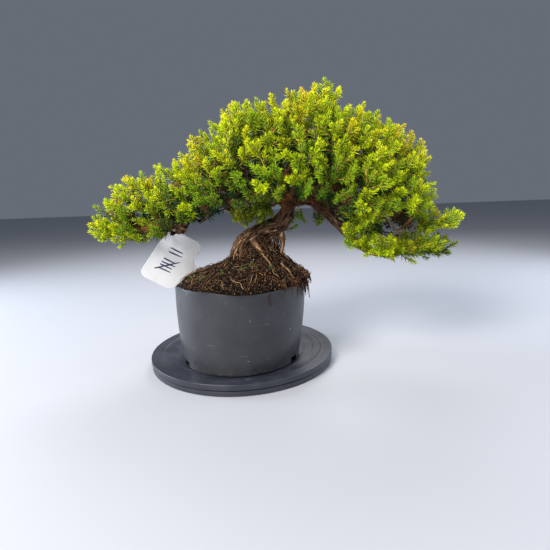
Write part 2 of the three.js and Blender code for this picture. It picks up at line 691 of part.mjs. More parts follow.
// The foliage of one spray as one skin. A shoot is a slim three-sided stem whose rings turn by 60
// degrees, and every other facet is drawn out into a needle or carries a side shoot.
class Foliage {
  constructor(spray) {
    this.spray = spray;
    this.positions = [];
    this.triangles = [];
  }

  point(place) {
    this.positions.push(...place);
    return this.positions.length / 3 - 1;
  }

  place(index) {
    return vec(...this.positions.slice(3 * index, 3 * index + 3));
  }

  ring(frame, turn, radius) {
    return [0, 1, 2].map((k) => {
      const angle = ((2 * k + turn) * Math.PI) / 3;
      return this.point(frame.at.clone().addScaledVector(outward(frame, angle), radius));
    });
  }

  needle(shoot, frame, angle, facet, share) {
    const foot = frame.at.clone().addScaledVector(outward(frame, angle), SHOOT_RADIUS / 2);
    foot.addScaledVector(frame.along, WHORL_STEP / 3);
    const length = NEEDLE_LENGTH * (1 - 0.2 * share);
    const apex = foot.clone().addScaledVector(lean(frame, angle, NEEDLE_LEAN * (1 - 0.45 * share)), length);
    const [a, b, c] = facet;
    const { node } = this.spray;
    const line = [foot, apex];
    const crossesOthers = roomFor(line, NEEDLE_RADIUS, (other) => other.node !== node) < 0;
    const ownShoots = (other) => other.node === node && other.shoot !== shoot;
    if (crossesOthers || roomFor(line, NEEDLE_RADIUS, ownShoots, GAP_IN_SPRAY) < 0) {
      this.triangles.push(a, b, c);
      return;
    }
    hold(node, shoot, line, NEEDLE_RADIUS);
    const tip = this.point(apex);
    this.triangles.push(a, b, tip, b, c, tip, c, a, tip);
  }

  shoot(index, line, bareBands, base) {
    const last = line.length - 1;
    const centre = line[0];
    const firstAcross = base ? this.place(base[0]).sub(centre) : undefined;
    const frames = framesAlong(line, { firstAcross });
    let low = base ?? this.ring(frames[0], 0, SHOOT_RADIUS);
    if (!base) this.triangles.push(low[0], low[2], low[1]);
    for (let band = 0; band < last; band++) {
      const slim = band === last - 1 ? 0.5 : 1 - (0.2 * (band + 1)) / last;
      const high = this.ring(frames[band + 1], band + 1, SHOOT_RADIUS * slim);
      for (let k = 0; k < 3; k++) {
        const facet = [low[k], low[(k + 1) % 3], high[k]];
        const side = index === 0 && this.spray.sides.find((s) => s.band === band && s.k === k);
        this.triangles.push(low[(k + 1) % 3], high[(k + 1) % 3], high[k]);
        if (side) {
          this.shoot(this.spray.sides.indexOf(side) + 1, side.line, 1, facet);
        } else if (band < bareBands) {
          this.triangles.push(...facet);
        } else {
          this.needle(index, frames[band], facetAngle(band, k), facet, band / last);
        }
      }
      low = high;
    }
    this.triangles.push(low[0], low[1], low[2]);
  }

  solid() {
    this.shoot(0, this.spray.leader, 2);
    return solidFrom(this.positions, this.triangles);
  }
}

// Assembly.
const bonsai = new THREE.Group();

function add(name, solid, color, roughness, metalness = 0) {
  const material = new THREE.MeshStandardMaterial({ color, roughness, metalness, flatShading: true });
  const mesh = new THREE.Mesh(geometryOf(solid), material);
  mesh.name = name;
  bonsai.add(mesh);
}

const trunkLine = new THREE.CatmullRomCurve3(TRUNK.line.map((p) => vec(...p)), false, "centripetal");
const trunkPoints = trunkLine.getPoints(TRUNK.steps);
const limbs = LIMBS.map((limb) => limbPoints(limb, 18));
const spurs = DEAD_SPURS.map((limb) => limbPoints(limb, 12));
const roots = BARE_ROOTS.map((limb) => limbPoints(limb, 6));
hold("wood", 0, trunkPoints, TRUNK.radii[2]);
limbs.forEach((points, i) => hold("wood", 0, points, LIMBS[i].from));
spurs.forEach((points) => hold("wood", 0, points, DEAD_SPURS[0].from));

const sprays = sprayPlaces().map((place, i) => {
  const leader = clearLeader(place);
  const node = "spray_" + String(i + 1).padStart(2, "0");
  hold(node, 0, leader, SHOOT_RADIUS);
  return { node, leader, root: leader[0], heading: leader[1].clone().sub(leader[0]).normalize() };
});
const twigs = sprays.map((spray) => twigTo(spray, limbs));
twigs.forEach((points) => hold("wood", 0, points.slice(0, -1), TWIG_RADII[1]));
sprays.forEach((spray, i) => placeSideShoots(spray, makeRandom(101 + i)));

const wood = wasm.Manifold.union([
  stem(trunkPoints, trunkRadii(), TRUNK.sides, TRUNK.lobe),
  ...limbs.map((points, i) => stem(points, taper(LIMBS[i], points.length), LIMBS[i].from > 4 ? 7 : 5, 0.05)),
  ...spurs.map((points, i) => stem(points, taper(DEAD_SPURS[i], points.length), 5)),
  ...roots.map((points, i) => stem(points, taper(BARE_ROOTS[i], points.length), 5)),
  ...twigs.map((points, i) => stem(points, TWIG_RADII, 3, 0, sprays[i].heading)),
]);

// The same line, carried on a little past its end.
function longer(points, extra) {
  const step = points.at(-1).clone().sub(points.at(-2)).normalize().multiplyScalar(extra);
  return [...points.slice(0, -1), points.at(-1).clone().add(step)];
}

// The holes in the soil that the trunk, the bare roots and the label stand in.
const wider = (radii) => radii.map((radius) => radius + HOLE_GAP);
const buriedTrunk = longer(trunkPoints.slice(0, TRUNK.buried).reverse(), HOLE_GAP).reverse();
const holes = wasm.Manifold.union([
  stem(buriedTrunk, wider(trunkRadii().slice(0, TRUNK.buried)), TRUNK.sides, TRUNK.lobe),
  ...roots.map((points, i) => stem(longer(points, HOLE_GAP), wider(taper(BARE_ROOTS[i], points.length)), 5)),
  plantLabel(SEAT_GAP),
]);

add("turntable_base", turntableBase(), 0x30343b, 0.5);
add("turntable_plate", turntablePlate(), 0x3a3e4a, 0.5);
add("pivot_pin", pivotPin(), 0xb8bcc0, 0.3, 1);
add("bearing_ring", bearingRing(), 0xb8bcc0, 0.3, 1);
add("nursery_pot", nurseryPot(), 0x4a4d52, 0.42);
add("soil", soilPlug().subtract(holes), 0x3b2a20, 0.95);
add("wood", wood, 0x6b4e3a, 0.9);
add("plant_label", plantLabel(), 0xe6e8ec, 0.5);
sprays.forEach((spray) => add(spray.node, new Foliage(spray).solid(), 0x8fae2c, 0.6));

export default bonsai;
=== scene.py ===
"""The looks of a small garden juniper grown as a bonsai, in a cut-down nursery pot on a turntable.

Lengths are in millimetres in the part's own frame: +Z up, +X to the viewer's right and -Y towards the
viewer, with the origin under the turntable on its axis. They become metres only where a mesh is made.
"""

from __future__ import annotations

import json
import logging
import math
from collections.abc import Iterator, Sequence
from contextlib import contextmanager
from dataclasses import dataclass, field
from enum import Enum

import bmesh
import bpy
import numpy as np
from mathutils import Matrix, Vector, kdtree, noise

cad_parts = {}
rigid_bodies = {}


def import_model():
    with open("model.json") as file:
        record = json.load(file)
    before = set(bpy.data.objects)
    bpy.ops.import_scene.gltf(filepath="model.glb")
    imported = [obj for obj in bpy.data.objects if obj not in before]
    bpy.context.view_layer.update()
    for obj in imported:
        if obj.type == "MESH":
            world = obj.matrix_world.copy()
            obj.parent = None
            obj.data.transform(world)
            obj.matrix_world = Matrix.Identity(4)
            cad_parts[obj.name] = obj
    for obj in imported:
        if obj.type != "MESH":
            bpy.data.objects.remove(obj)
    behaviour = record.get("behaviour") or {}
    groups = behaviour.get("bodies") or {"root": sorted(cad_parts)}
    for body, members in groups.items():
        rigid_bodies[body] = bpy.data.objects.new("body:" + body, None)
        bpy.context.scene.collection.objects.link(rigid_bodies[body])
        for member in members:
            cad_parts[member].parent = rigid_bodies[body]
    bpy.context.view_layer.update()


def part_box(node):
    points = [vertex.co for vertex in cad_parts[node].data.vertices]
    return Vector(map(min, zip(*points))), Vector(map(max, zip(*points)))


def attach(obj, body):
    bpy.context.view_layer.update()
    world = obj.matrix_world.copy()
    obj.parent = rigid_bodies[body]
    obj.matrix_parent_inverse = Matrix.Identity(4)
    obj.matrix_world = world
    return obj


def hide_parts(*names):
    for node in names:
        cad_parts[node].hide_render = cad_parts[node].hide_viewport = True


LOG = logging.getLogger("bonsai")
MM = 0.001
# Where the trunk parts into its limbs.
CROTCH = (58, -22, 172)
# What is kept for each needle, after its place.
LEAF_VALUES = ("turn_x", "turn_y", "turn_z", "length", "age", "tone", "shade", "dead")

Array = np.ndarray
Object = bpy.types.Object
Tree = bpy.types.NodeTree
Node = bpy.types.Node
Socket = bpy.types.NodeSocket
Material = bpy.types.Material


class Body(Enum):
    """The two bodies of the part that move against each other."""

    BASE = "base"
    TURNTABLE = "turntable"


class Slot(Enum):
    """The record's material slots, one passed with each new piece."""

    TURNTABLE = "turntable_plastic"
    POT = "pot_plastic"
    SOIL = "potting_soil"
    BARK = "juniper_bark"
    LABEL = "label_plastic"
    NEEDLES = "juniper_needles"


def linear(code: str) -> tuple[float, float, float, float]:
    """Turns an sRGB colour into linear light.

    Args:
        code: the colour as a hex code such as "#a0b0c0".

    Returns:
        Red, green and blue in linear light, and an alpha of one.
    """
    shares = [int(code[i : i + 2], 16) / 255 for i in (1, 3, 5)]
    red, green, blue = (c / 12.92 if c <= 0.04045 else ((c + 0.055) / 1.055) ** 2.4 for c in shares)
    return red, green, blue, 1.0


def add_node(tree: Tree, kind: str, inputs: dict | None = None, **settings) -> Node:
    """Adds a node to a tree with its settings, values and links.

    Args:
        tree: the tree that gets the node.
        kind: Blender's name for the node type.
        inputs: for each input, by name or number, a value or the output socket linked to it.
        **settings: the node's own properties.

    Returns:
        The new node.
    """
    node = tree.nodes.new(kind)
    for name, value in settings.items():
        setattr(node, name, value)
    for key, value in (inputs or {}).items():
        if isinstance(value, Socket):
            tree.links.new(value, node.inputs[key])
        else:
            node.inputs[key].default_value = value
    return node


def make_piece(name: str, points: Array, faces: list, smooth: bool = True) -> Object:
    """Makes a mesh object at the origin.

    Args:
        name: the object's name.
        points: one row for each vertex, in millimetres.
        faces: the vertex numbers of each face.
        smooth: whether the faces are shaded smooth.

    Returns:
        The object, linked to the scene.
    """
    mesh = bpy.data.meshes.new(name)
    mesh.from_pydata((np.asarray(points, float) * MM).tolist(), [], faces)
    mesh.polygons.foreach_set("use_smooth", np.full(len(mesh.polygons), smooth))
    piece = bpy.data.objects.new(name, mesh)
    bpy.context.scene.collection.objects.link(piece)
    return piece


def store(piece: Object, name: str, values: Array, kind: str = "FLOAT") -> None:
    """Keeps one value for each vertex of a piece under a name.

    Args:
        piece: the mesh object.
        name: the attribute's name.
        values: one number, or one row of three for a vector, for each vertex.
        kind: FLOAT or FLOAT_VECTOR.
    """
    layer = piece.data.attributes.new(name, kind, "POINT")
    field_name = "vector" if kind == "FLOAT_VECTOR" else "value"
    layer.data.foreach_set(field_name, np.asarray(values, np.float32).ravel())


def settle(piece: Object) -> Object:
    """Turns a piece and its modifiers into a plain mesh.

    Args:
        piece: the mesh object with its modifiers.

    Returns:
        The same object, with the finished mesh and no modifier.
    """
    graph = bpy.context.evaluated_depsgraph_get()
    shaped = piece.evaluated_get(graph)
    mesh = bpy.data.meshes.new_from_object(shaped, preserve_all_data_layers=True, depsgraph=graph)
    rough = piece.data
    piece.modifiers.clear()
    piece.data = mesh
    bpy.data.meshes.remove(rough)
    mesh.name = piece.name
    return piece


def grow_nodes(piece: Object, tree: Tree, **values) -> Object:
    """Runs a node tree on a piece and keeps the result as its mesh.

    Args:
        piece: the mesh object that the tree reads.
        tree: a geometry node tree.
        **values: its inputs, by name with _ for each space.

    Returns:
        The same object with the mesh that the tree made.
    """
    modifier = piece.modifiers.new(tree.name, "NODES")
    modifier.node_group = tree
    sockets = {s.name: s.identifier for s in tree.interface.items_tree if s.item_type == "SOCKET"}
    for name, value in values.items():
        modifier[sockets[name.replace("_", " ")]] = value
    piece.update_tag()
    return settle(piece)


def new_tree(name: str, sockets: dict[str, str]) -> tuple[Tree, Node]:
    """Starts a geometry node tree with a mesh input and output.

    Args:
        name: the tree's name.
        sockets: each further input's name and socket type.

    Returns:
        The tree and its input node.
    """
    tree = bpy.data.node_groups.new(name, "GeometryNodeTree")
    tree.interface.new_socket("Geometry", in_out="INPUT", socket_type="NodeSocketGeometry")
    tree.interface.new_socket("Geometry", in_out="OUTPUT", socket_type="NodeSocketGeometry")
    for label, kind in sockets.items():
        tree.interface.new_socket(label, in_out="INPUT", socket_type=kind)
    return tree, add_node(tree, "NodeGroupInput")


def coat(piece: Object, finish: Material) -> None:
    """Gives a piece one material and takes any other off it."""
    piece.data.materials.clear()
    piece.data.materials.append(finish)


def dress(
    piece: Object, slot: Slot, *nodes: str, finish: Material | None = None, body: Body = Body.TURNTABLE
) -> None:
    """Seats a finished piece on its body and reports it.

    Args:
        piece: the finished mesh object.
        slot: the record's slot of the piece; not used.
        *nodes: the nodes of the frame that it stands for.
        finish: its material, where it has none yet.
        body: the body that it moves with.
    """
    if finish:
        coat(piece, finish)
    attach(piece, body.value)
    if nodes:
        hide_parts(*nodes)
    LOG.info("%s: %d faces on %s", piece.name, len(piece.data.polygons), body.value)


def unit(rows: Array) -> Array:
    """Scales each row of an array, or a single row, to length one."""
    rows = np.asarray(rows, float)
    return rows / np.maximum(np.linalg.norm(rows, axis=-1, keepdims=True), 1e-9)


def smoothstep(low: float, high: float, values: Array) -> Array:
    """Rises smoothly from 0 at low to 1 at high."""
    share = np.clip((np.asarray(values, float) - low) / (high - low), 0, 1)
    return share * share * (3 - 2 * share)


def evenly(number: Array) -> tuple[Array, Array]:
    """Gives two shares, from 0 to 1, that spread numbered places evenly over a square."""
    return (0.7549 * number) % 1, (0.5698 * number) % 1


def far_along(line: Array) -> Array:
    """Gives how far each point of a line lies from its start."""
    return np.append(0, np.cumsum(np.linalg.norm(np.diff(line, axis=0), axis=1)))


def roughness(points: Array, octaves: int = 3, seed: float = 0.0) -> Array:
    """Draws smooth noise at points that are already scaled to its grain.

    Args:
        points: one row for each place, in grains.
        octaves: how many finer layers it adds up.
        seed: shifts the pattern.

    Returns:
        A value of about -1 to 1 for each place.
    """
    shifted = np.asarray(points, float) + seed
    return np.array([noise.fractal(Vector(row), 1.0, 2.0, octaves) for row in shifted.tolist()])


def nearest_of(rows: Array) -> kdtree.KDTree:
    """Sorts places so that the nearest one is quick to find.

    Args:
        rows: one row for each place.

    Returns:
        The tree, which names a place by its row's number.
    """
    tree = kdtree.KDTree(len(rows))
    for i, row in enumerate(rows):
        tree.insert(row, i)
    tree.balance()
    return tree


def smooth_line(points: Sequence, step: float) -> Array:
    """Draws a smooth line through a few points.

    Args:
        points: the points that it passes through.
        step: about how far apart the new points lie.

    Returns:
        One row for each point of the line.
    """
    knots = np.asarray(points, float)
    ends = np.vstack([2 * knots[0] - knots[1], knots, 2 * knots[-1] - knots[-2]])
    rows = [knots[:1]]
    for a, b, c, d in zip(ends, ends[1:], ends[2:], ends[3:]):
        count = max(1, round(float(np.linalg.norm(c - b)) / step))
        t = (np.arange(1, count + 1) / count)[:, None]
        bend, twist = 2 * a - 5 * b + 4 * c - d, 3 * b - a - 3 * c + d
        rows.append(0.5 * (2 * b + (c - a) * t + bend * t**2 + twist * t**3))
    return np.vstack(rows)


def frames_along(line: Array) -> tuple[Array, Array, Array]:
    """Finds the directions along and across a line, turning as little as they can.

    Args:
        line: one row for each point.

    Returns:
        The directions along, across and to the side, one row for each point.
    """
    along = unit(np.gradient(line, axis=0))
    across = np.zeros_like(along)
    last = np.array([0.0, 1.0, 0.0]) if abs(along[0, 2]) > 0.9 else np.array([0.0, 0.0, 1.0])
    for i, way in enumerate(along):
        last = unit(last - way * (last @ way))
        across[i] = last
    return along, across, np.cross(along, across)


def ring_faces(rings: int, sides: int) -> list[list[int]]:
    """Closes the wall between rings of vertices that follow each other.

    Args:
        rings: how many rings there are.
        sides: how many vertices each has.

    Returns:
        The vertex numbers of each face.
    """
    pairs = [(s, (s + 1) % sides) for s in range(sides)]
    starts = range(0, (rings - 1) * sides, sides)
    return [[low + a, low + b, low + sides + b, low + sides + a] for low in starts for a, b in pairs]


def bar_faces(rings: int) -> list[list[int]]:
    """Closes a four-sided bar of this many rings, with its two ends."""
    return [*ring_faces(rings, 4), [3, 2, 1, 0], list(range(4 * rings - 4, 4 * rings))]


class Skin:
    """Vertices and faces that gather into one mesh, with a few numbers kept for each vertex."""

    def __init__(self, *names: str) -> None:
        """Starts an empty skin.

        Args:
            *names: the names that it keeps a value under.
        """
        self.points: list[Array] = []
        self.faces: list[list[int]] = []
        self.values: dict[str, list[Array]] = {name: [] for name in names}
        self.count = 0

    def add(self, points: Array, faces: list[list[int]], **values: float | Array) -> None:
        """Adds vertices and the faces between them.

        Args:
            points: one row for each vertex.
            faces: vertex numbers, counted from the first of these vertices.
            **values: for each name, one number for them all or one for each vertex.
        """
        self.faces.extend([[i + self.count for i in face] for face in faces])
        self.points.append(np.asarray(points, float))
        for name, kept in self.values.items():
            kept.append(np.broadcast_to(np.asarray(values[name], float), (len(points),)))
        self.count += len(points)

    def tube(self, line: Array, radii: Array, sides: int, **values: float | Array) -> None:
        """Adds a closed tube along a line, with a point at each end.

        Args:
            line: the points of its centre.
            radii: its radius at each of them.
            sides: how many sides it has.
            **values: for each name, one number or one for each point of the line.
        """
        _, across, side = frames_along(line)
        turn = 2 * math.pi * np.arange(sides) / sides
        spokes = across[:, None] * np.cos(turn)[None, :, None] + side[:, None] * np.sin(turn)[None, :, None]
        rings = (line[:, None] + spokes * np.asarray(radii, float)[:, None, None]).reshape(-1, 3)
        last = (len(line) - 1) * sides
        faces = ring_faces(len(line), sides)
        head, tail = len(rings), len(rings) + 1
        for s in range(sides):
            faces.append([head, (s + 1) % sides, s])
            faces.append([tail, last + s, last + (s + 1) % sides])
        spread_out = {}
        for name, value in values.items():
            each = np.broadcast_to(value, len(line))
            spread_out[name] = np.append(np.repeat(each, sides), [each[0], each[-1]])
        self.add(np.vstack([rings, line[0], line[-1]]), faces, **spread_out)

    def piece(self, name: str, smooth: bool = True) -> Object:
        """Makes the mesh object.

        Args:
            name: the object's name.
            smooth: whether its faces are shaded smooth.

        Returns:
            The object with its kept values as attributes.
        """
        made = make_piece(name, np.vstack(self.points), self.faces, smooth)
        for label, kept in self.values.items():
            store(made, label, np.concatenate(kept))
        return made


def turned(name: str, profile: list[tuple[float, float, float]], sides: int) -> Object:
    """Turns a profile round the Z axis into a closed piece with rounded edges.

    Args:
        name: the object's name.
        profile: radius, height and edge rounding of each corner, from the axis back to the axis.
        sides: how many sides the round has.

    Returns:
        The mesh object.
    """
    outline: list[Array] = []
    corners = [np.array(corner, float) for corner in profile]
    for i, corner in enumerate(corners):
        if i in (0, len(corners) - 1) or corner[2] == 0:
            outline.append(corner[:2])
            continue
        before, here, after = corners[i - 1][:2], corner[:2], corners[i + 1][:2]
        # A rounding never takes up half of the edge beside it.
        reach = min(corner[2], *(0.45 * np.linalg.norm(end - here) for end in (before, after)))
        start, end = here + unit(before - here) * reach, here + unit(after - here) * reach
        for t in (0, 0.5, 1):
            outline.append((1 - t) ** 2 * start + 2 * t * (1 - t) * here + t**2 * end)
    turn = 2 * math.pi * np.arange(sides) / sides
    points = [[0.0, 0.0, outline[0][1]]]
    for radius, height in outline[1:-1]:
        ring = [radius * np.cos(turn), radius * np.sin(turn), np.full(sides, height)]
        points.extend(np.column_stack(ring))
    points.append([0.0, 0.0, outline[-1][1]])
    tail = len(points) - 1
    faces = [[i + 1 for i in face] for face in ring_faces(len(outline) - 2, sides)]
    for s in range(sides):
        after = (s + 1) % sides
        faces.append([0, 1 + after, 1 + s])
        faces.append([tail, tail - sides + s, tail - sides + after])
    piece = make_piece(name, np.array(points), faces)
    turn_outward(piece)
    return piece


@contextmanager
def opened(mesh: bpy.types.Mesh) -> Iterator[bmesh.types.BMesh]:
    """Opens a mesh for editing and writes it back at the end.

    Args:
        mesh: the mesh.

    Yields:
        The mesh in a form that can be edited.
    """
    shape = bmesh.new()
    shape.from_mesh(mesh)
    yield shape
    shape.to_mesh(mesh)
    shape.free()


def turn_outward(piece: Object) -> None:
    """Points the faces of a closed piece outwards.

    Args:
        piece: the mesh object.
    """
    with opened(piece.data) as shape:
        bmesh.ops.recalc_face_normals(shape, faces=shape.faces)
        if shape.calc_volume(signed=True) < 0:
            bmesh.ops.reverse_faces(shape, faces=shape.faces)


def sharp_by_angle(piece: Object, degrees: float) -> None:
    """Shades a piece smooth, apart from its sharper edges.

    Args:
        piece: the mesh object.
        degrees: the angle past which an edge stays sharp.
    """
    with opened(piece.data) as shape:
        for edge in shape.edges:
            edge.smooth = len(edge.link_faces) < 2 or edge.calc_face_angle(0) < math.radians(degrees)


def fine_copy(node: str, name: str, voxel: float) -> Object:
    """Copies a node of the frame and remeshes the copy finely.

    Args:
        node: the node's name.
        name: the new object's name.
        voxel: the size of the new faces, in millimetres.

    Returns:
        The copy, as one even skin.
    """
    mesh = bpy.data.objects[node].data.copy()
    copy = bpy.data.objects.new(name, mesh)
    bpy.context.scene.collection.objects.link(copy)
    mesh.materials.clear()
    with opened(mesh) as shape:
        bmesh.ops.remove_doubles(shape, verts=shape.verts, dist=0.005 * MM)
    remesh = copy.modifiers.new("even", "REMESH")
    remesh.mode = "VOXEL"
    remesh.voxel_size = voxel * MM
    relax = copy.modifiers.new("relax", "SMOOTH")
    relax.factor = 0.5
    relax.iterations = 2
    settle(copy)
    copy.data.polygons.foreach_set("use_smooth", np.full(len(copy.data.polygons), True))
    return copy


def places(piece: Object) -> Array:
    """Reads where a piece's vertices are.

    Args:
        piece: the mesh object.

    Returns:
        One row for each vertex, in millimetres.
    """
    rows = np.zeros(3 * len(piece.data.vertices))
    piece.data.vertices.foreach_get("co", rows)
    return rows.reshape(-1, 3) / MM


def place_at(piece: Object, rows: Array) -> None:
    """Moves a piece's vertices to places in millimetres."""
    piece.data.vertices.foreach_set("co", (rows * MM).ravel())
    piece.data.update()


def normals(piece: Object) -> Array:
    """Reads the outward direction at each of a piece's vertices.

    Args:
        piece: the mesh object.

    Returns:
        One row for each vertex.
    """
    rows = np.zeros(3 * len(piece.data.vertices))
    piece.data.vertex_normals.foreach_get("vector", rows)
    return rows.reshape(-1, 3)


# Finishes.


@dataclass(frozen=True)
class Finish:
    """What every finish has: a name, how rough it is and how much of the light it throws back.

    Crumbs, fibres, bark and needles lose much of the light in their gaps, so their index of refraction is
    set lower than that of the stuff they are made of.
    """

    name: str
    rough: float
    ior: float = 1.5

    def start(self) -> tuple[Material, Tree, Node]:
        """Makes the material.

        Returns:
            The material, its node tree and its surface shader.
        """
        material = bpy.data.materials.new(self.name)
        material.use_nodes = True
        tree = material.node_tree
        tree.nodes.clear()
        shader = add_node(tree, "ShaderNodeBsdfPrincipled", {"Roughness": self.rough, "IOR": self.ior})
        add_node(tree, "ShaderNodeOutputMaterial", {"Surface": shader.outputs["BSDF"]})
        return material, tree, shader


def blend_colours(tree: Tree, share, low, high) -> Socket:
    """Mixes two colours by a share.

    Args:
        tree: the material's tree.
        share: the factor, a number or a socket.
        low: the colour at 0, a hex code or a socket.
        high: the colour at 1, a hex code or a socket.

    Returns:
        The mixed colour's socket.
    """
    a, b = (linear(c) if isinstance(c, str) else c for c in (low, high))
    mix = add_node(tree, "ShaderNodeMix", {0: share, 6: a, 7: b}, data_type="RGBA")
    return mix.outputs[2]


def spread(tree: Tree, value, low: float, high: float, to=(0.0, 1.0)) -> Socket:
    """Stretches a value so that low and high become the ends of a range.

    Args:
        tree: the material's tree.
        value: the socket that is stretched.
        low: the value that becomes the range's first end.
        high: the value that becomes its second end.
        to: the range.

    Returns:
        The stretched value's socket.
    """
    inputs = {"Value": value, "From Min": low, "From Max": high, "To Min": to[0], "To Max": to[1]}
    return add_node(tree, "ShaderNodeMapRange", inputs).outputs["Result"]


def times(tree: Tree, a: Socket, b: Socket | float) -> Socket:
    """Multiplies two values."""
    return add_node(tree, "ShaderNodeMath", {0: a, 1: b}, operation="MULTIPLY").outputs[0]


def stretch(tree: Tree, place: Socket, scale: tuple[float, float, float]) -> Socket:
    """Scales a place, which draws a pattern out along the axis with the least scale."""
    return add_node(tree, "ShaderNodeMapping", {"Vector": place, "Scale": scale}).outputs[0]


def grain(tree: Tree, vector, size: float, detail: float = 3.0) -> Socket:
    """Draws noise whose grains have a real size.

    Args:
        tree: the material's tree.
        vector: the coordinates, in metres, as a socket.
        size: the size of a grain, in millimetres.
        detail: how many finer layers it has.

    Returns:
        The noise's value, about 0.3 to 0.7.
    """
    inputs = {"Vector": vector, "Scale": 1 / (size * MM), "Detail": detail}
    return add_node(tree, "ShaderNodeTexNoise", inputs).outputs[0]


def object_place(tree: Tree) -> Socket:
    """Gives the place on the piece, in metres."""
    return add_node(tree, "ShaderNodeTexCoord").outputs["Object"]


def named(tree: Tree, name: str, output: str = "Fac") -> Socket:
    """Reads a value that is kept on the piece's vertices."""
    return add_node(tree, "ShaderNodeAttribute", attribute_name=name).outputs[output]


def raise_bumps(tree: Tree, shader: Node, height, depth: float, strength: float) -> None:
    """Lets a pattern catch the light as if it stood out.

    Args:
        tree: the material's tree.
        shader: the surface shader.
        height: the pattern's socket.
        depth: how deep it is, in millimetres.
        strength: how much of it shows.
    """
    inputs = {"Height": height, "Distance": depth * MM, "Strength": strength}
    tree.links.new(add_node(tree, "ShaderNodeBump", inputs).outputs["Normal"], shader.inputs["Normal"])


@dataclass(frozen=True)
class MouldedPlastic(Finish):
    """Injection-moulded polypropylene, as of plant pots: satin, with a faint orange peel."""

    colour: str = "#27292e"
    worn: str = "#2e3036"
    dust: str = "#4a443c"
    dusty_from: float = 26.0
    dusty_to: float = 12.0
    specks: float = 0.785

    def material(self) -> Material:
        """Moulded plastic that has been handled: rubbed patches, fine scratches, dust and a few specks.

        Returns:
            The material.
        """
        material, tree, shader = self.start()
        place = object_place(tree)
        height = add_node(tree, "ShaderNodeSeparateXYZ", {0: place}).outputs["Z"]
        rubbed = spread(tree, grain(tree, place, 18), 0.42, 0.68)
        base = blend_colours(tree, rubbed, self.colour, self.worn)
        # Hairline scratches run level round the wall, far longer than they are high.
        level = stretch(tree, place, (0.06, 0.06, 1))
        scratch = spread(tree, grain(tree, level, 1.1, 1), 0.7, 0.76)
        base = blend_colours(tree, times(tree, scratch, rubbed), base, "#5a5d62")
        # Potting dust clings to the wall near the foot and thins out as it rises.
        low = spread(tree, height, self.dusty_from * MM, self.dusty_to * MM)
        soiled = spread(tree, grain(tree, place, 3.5), 0.5, 0.8)
        film = times(tree, low, soiled)
        base = blend_colours(tree, film, base, self.dust)
        speck = spread(tree, grain(tree, place, 2.3, 1), self.specks, self.specks + 0.02)
        base = blend_colours(tree, speck, base, "#b9b7ae")
        tree.links.new(base, shader.inputs["Base Color"])
        worn = spread(tree, rubbed, 0, 1, (self.rough - 0.05, self.rough + 0.1))
        dull = blend_colours(tree, film, worn, "#e0e0e0")
        tree.links.new(dull, shader.inputs["Roughness"])
        raise_bumps(tree, shader, grain(tree, place, 1.6, 2), 0.05, 0.25)
        return material


@dataclass(frozen=True)
class Steel(Finish):
    """Bearing steel, ground and lightly oiled."""

    colour: str = "#b9bdc2"

    def material(self) -> Material:
        """Ground steel with faint even marks.

        Returns:
            The material.
        """
        material, tree, shader = self.start()
        shader.inputs["Metallic"].default_value = 1.0
        marks = spread(tree, grain(tree, object_place(tree), 0.8, 2), 0.3, 0.7)
        base = blend_colours(tree, marks, self.colour, "#8f9499")
        tree.links.new(base, shader.inputs["Base Color"])
        return material


@dataclass(frozen=True)
class LabelSheet(Finish):
    """Punched white polystyrene sheet, slightly glossy, with soil rubbed into it."""

    colour: str = "#e9eaec"

    def material(self) -> Material:
        """White sheet plastic that has yellowed a little and is soiled towards its stem.

        Returns:
            The material.
        """
        material, tree, shader = self.start()
        place = object_place(tree)
        soiled = spread(tree, grain(tree, place, 9), 0.45, 0.75, (0.0, 0.25))
        base = blend_colours(tree, soiled, self.colour, "#cfcec8")
        side = add_node(tree, "ShaderNodeSeparateXYZ", {0: place})
        towards_stem = spread(tree, side.outputs["X"], -54 * MM, -42 * MM)
        near_soil = times(tree, towards_stem, spread(tree, side.outputs["Z"], 110 * MM, 102 * MM))
        dirty = times(tree, near_soil, spread(tree, grain(tree, place, 1.8, 2), 0.5, 0.6))
        base = blend_colours(tree, dirty, base, "#6b5644")
        tree.links.new(base, shader.inputs["Base Color"])
        raise_bumps(tree, shader, grain(tree, place, 3, 2), 0.03, 0.2)
        return material


@dataclass(frozen=True)
class Ink(Finish):
    """Felt-pen ink, dark violet-blue, a little faded where the pen moved fast."""

    def material(self) -> Material:
        """Dried ink of uneven strength.

        Returns:
            The material.
        """
        material, tree, shader = self.start()
        faded = spread(tree, grain(tree, object_place(tree), 2.2, 2), 0.35, 0.75)
        tree.links.new(blend_colours(tree, faded, "#2c2a4c", "#54527a"), shader.inputs["Base Color"])
        return material


@dataclass(frozen=True)
class PottingMix(Finish):
    """Peat, composted bark and root fibre: dark, rough and matte, each bit of its own colour."""

    def material(self) -> Material:
        """Crumbs from near black to orange bark, told apart by the value kept as tone.

        Returns:
            The material.
        """
        material, tree, shader = self.start()
        place = object_place(tree)
        tone = named(tree, "tone")
        base = blend_colours(tree, spread(tree, tone, 0.0, 0.55), "#080503", "#261b14")
        base = blend_colours(tree, spread(tree, tone, 0.6, 0.9), base, "#765b44")
        base = blend_colours(tree, spread(tree, tone, 0.95, 0.97), base, "#8f5c35")
        base = blend_colours(tree, spread(tree, tone, 0.992, 0.994), base, "#b0a998")
        mottle = spread(tree, grain(tree, place, 1.2), 0.32, 0.68, (0.4, 1.3))
        shade = add_node(tree, "ShaderNodeHueSaturation", {"Value": mottle, "Color": base}).outputs[0]
        tree.links.new(shade, shader.inputs["Base Color"])
        raise_bumps(tree, shader, grain(tree, place, 0.9, 4), 0.4, 0.7)
        return material


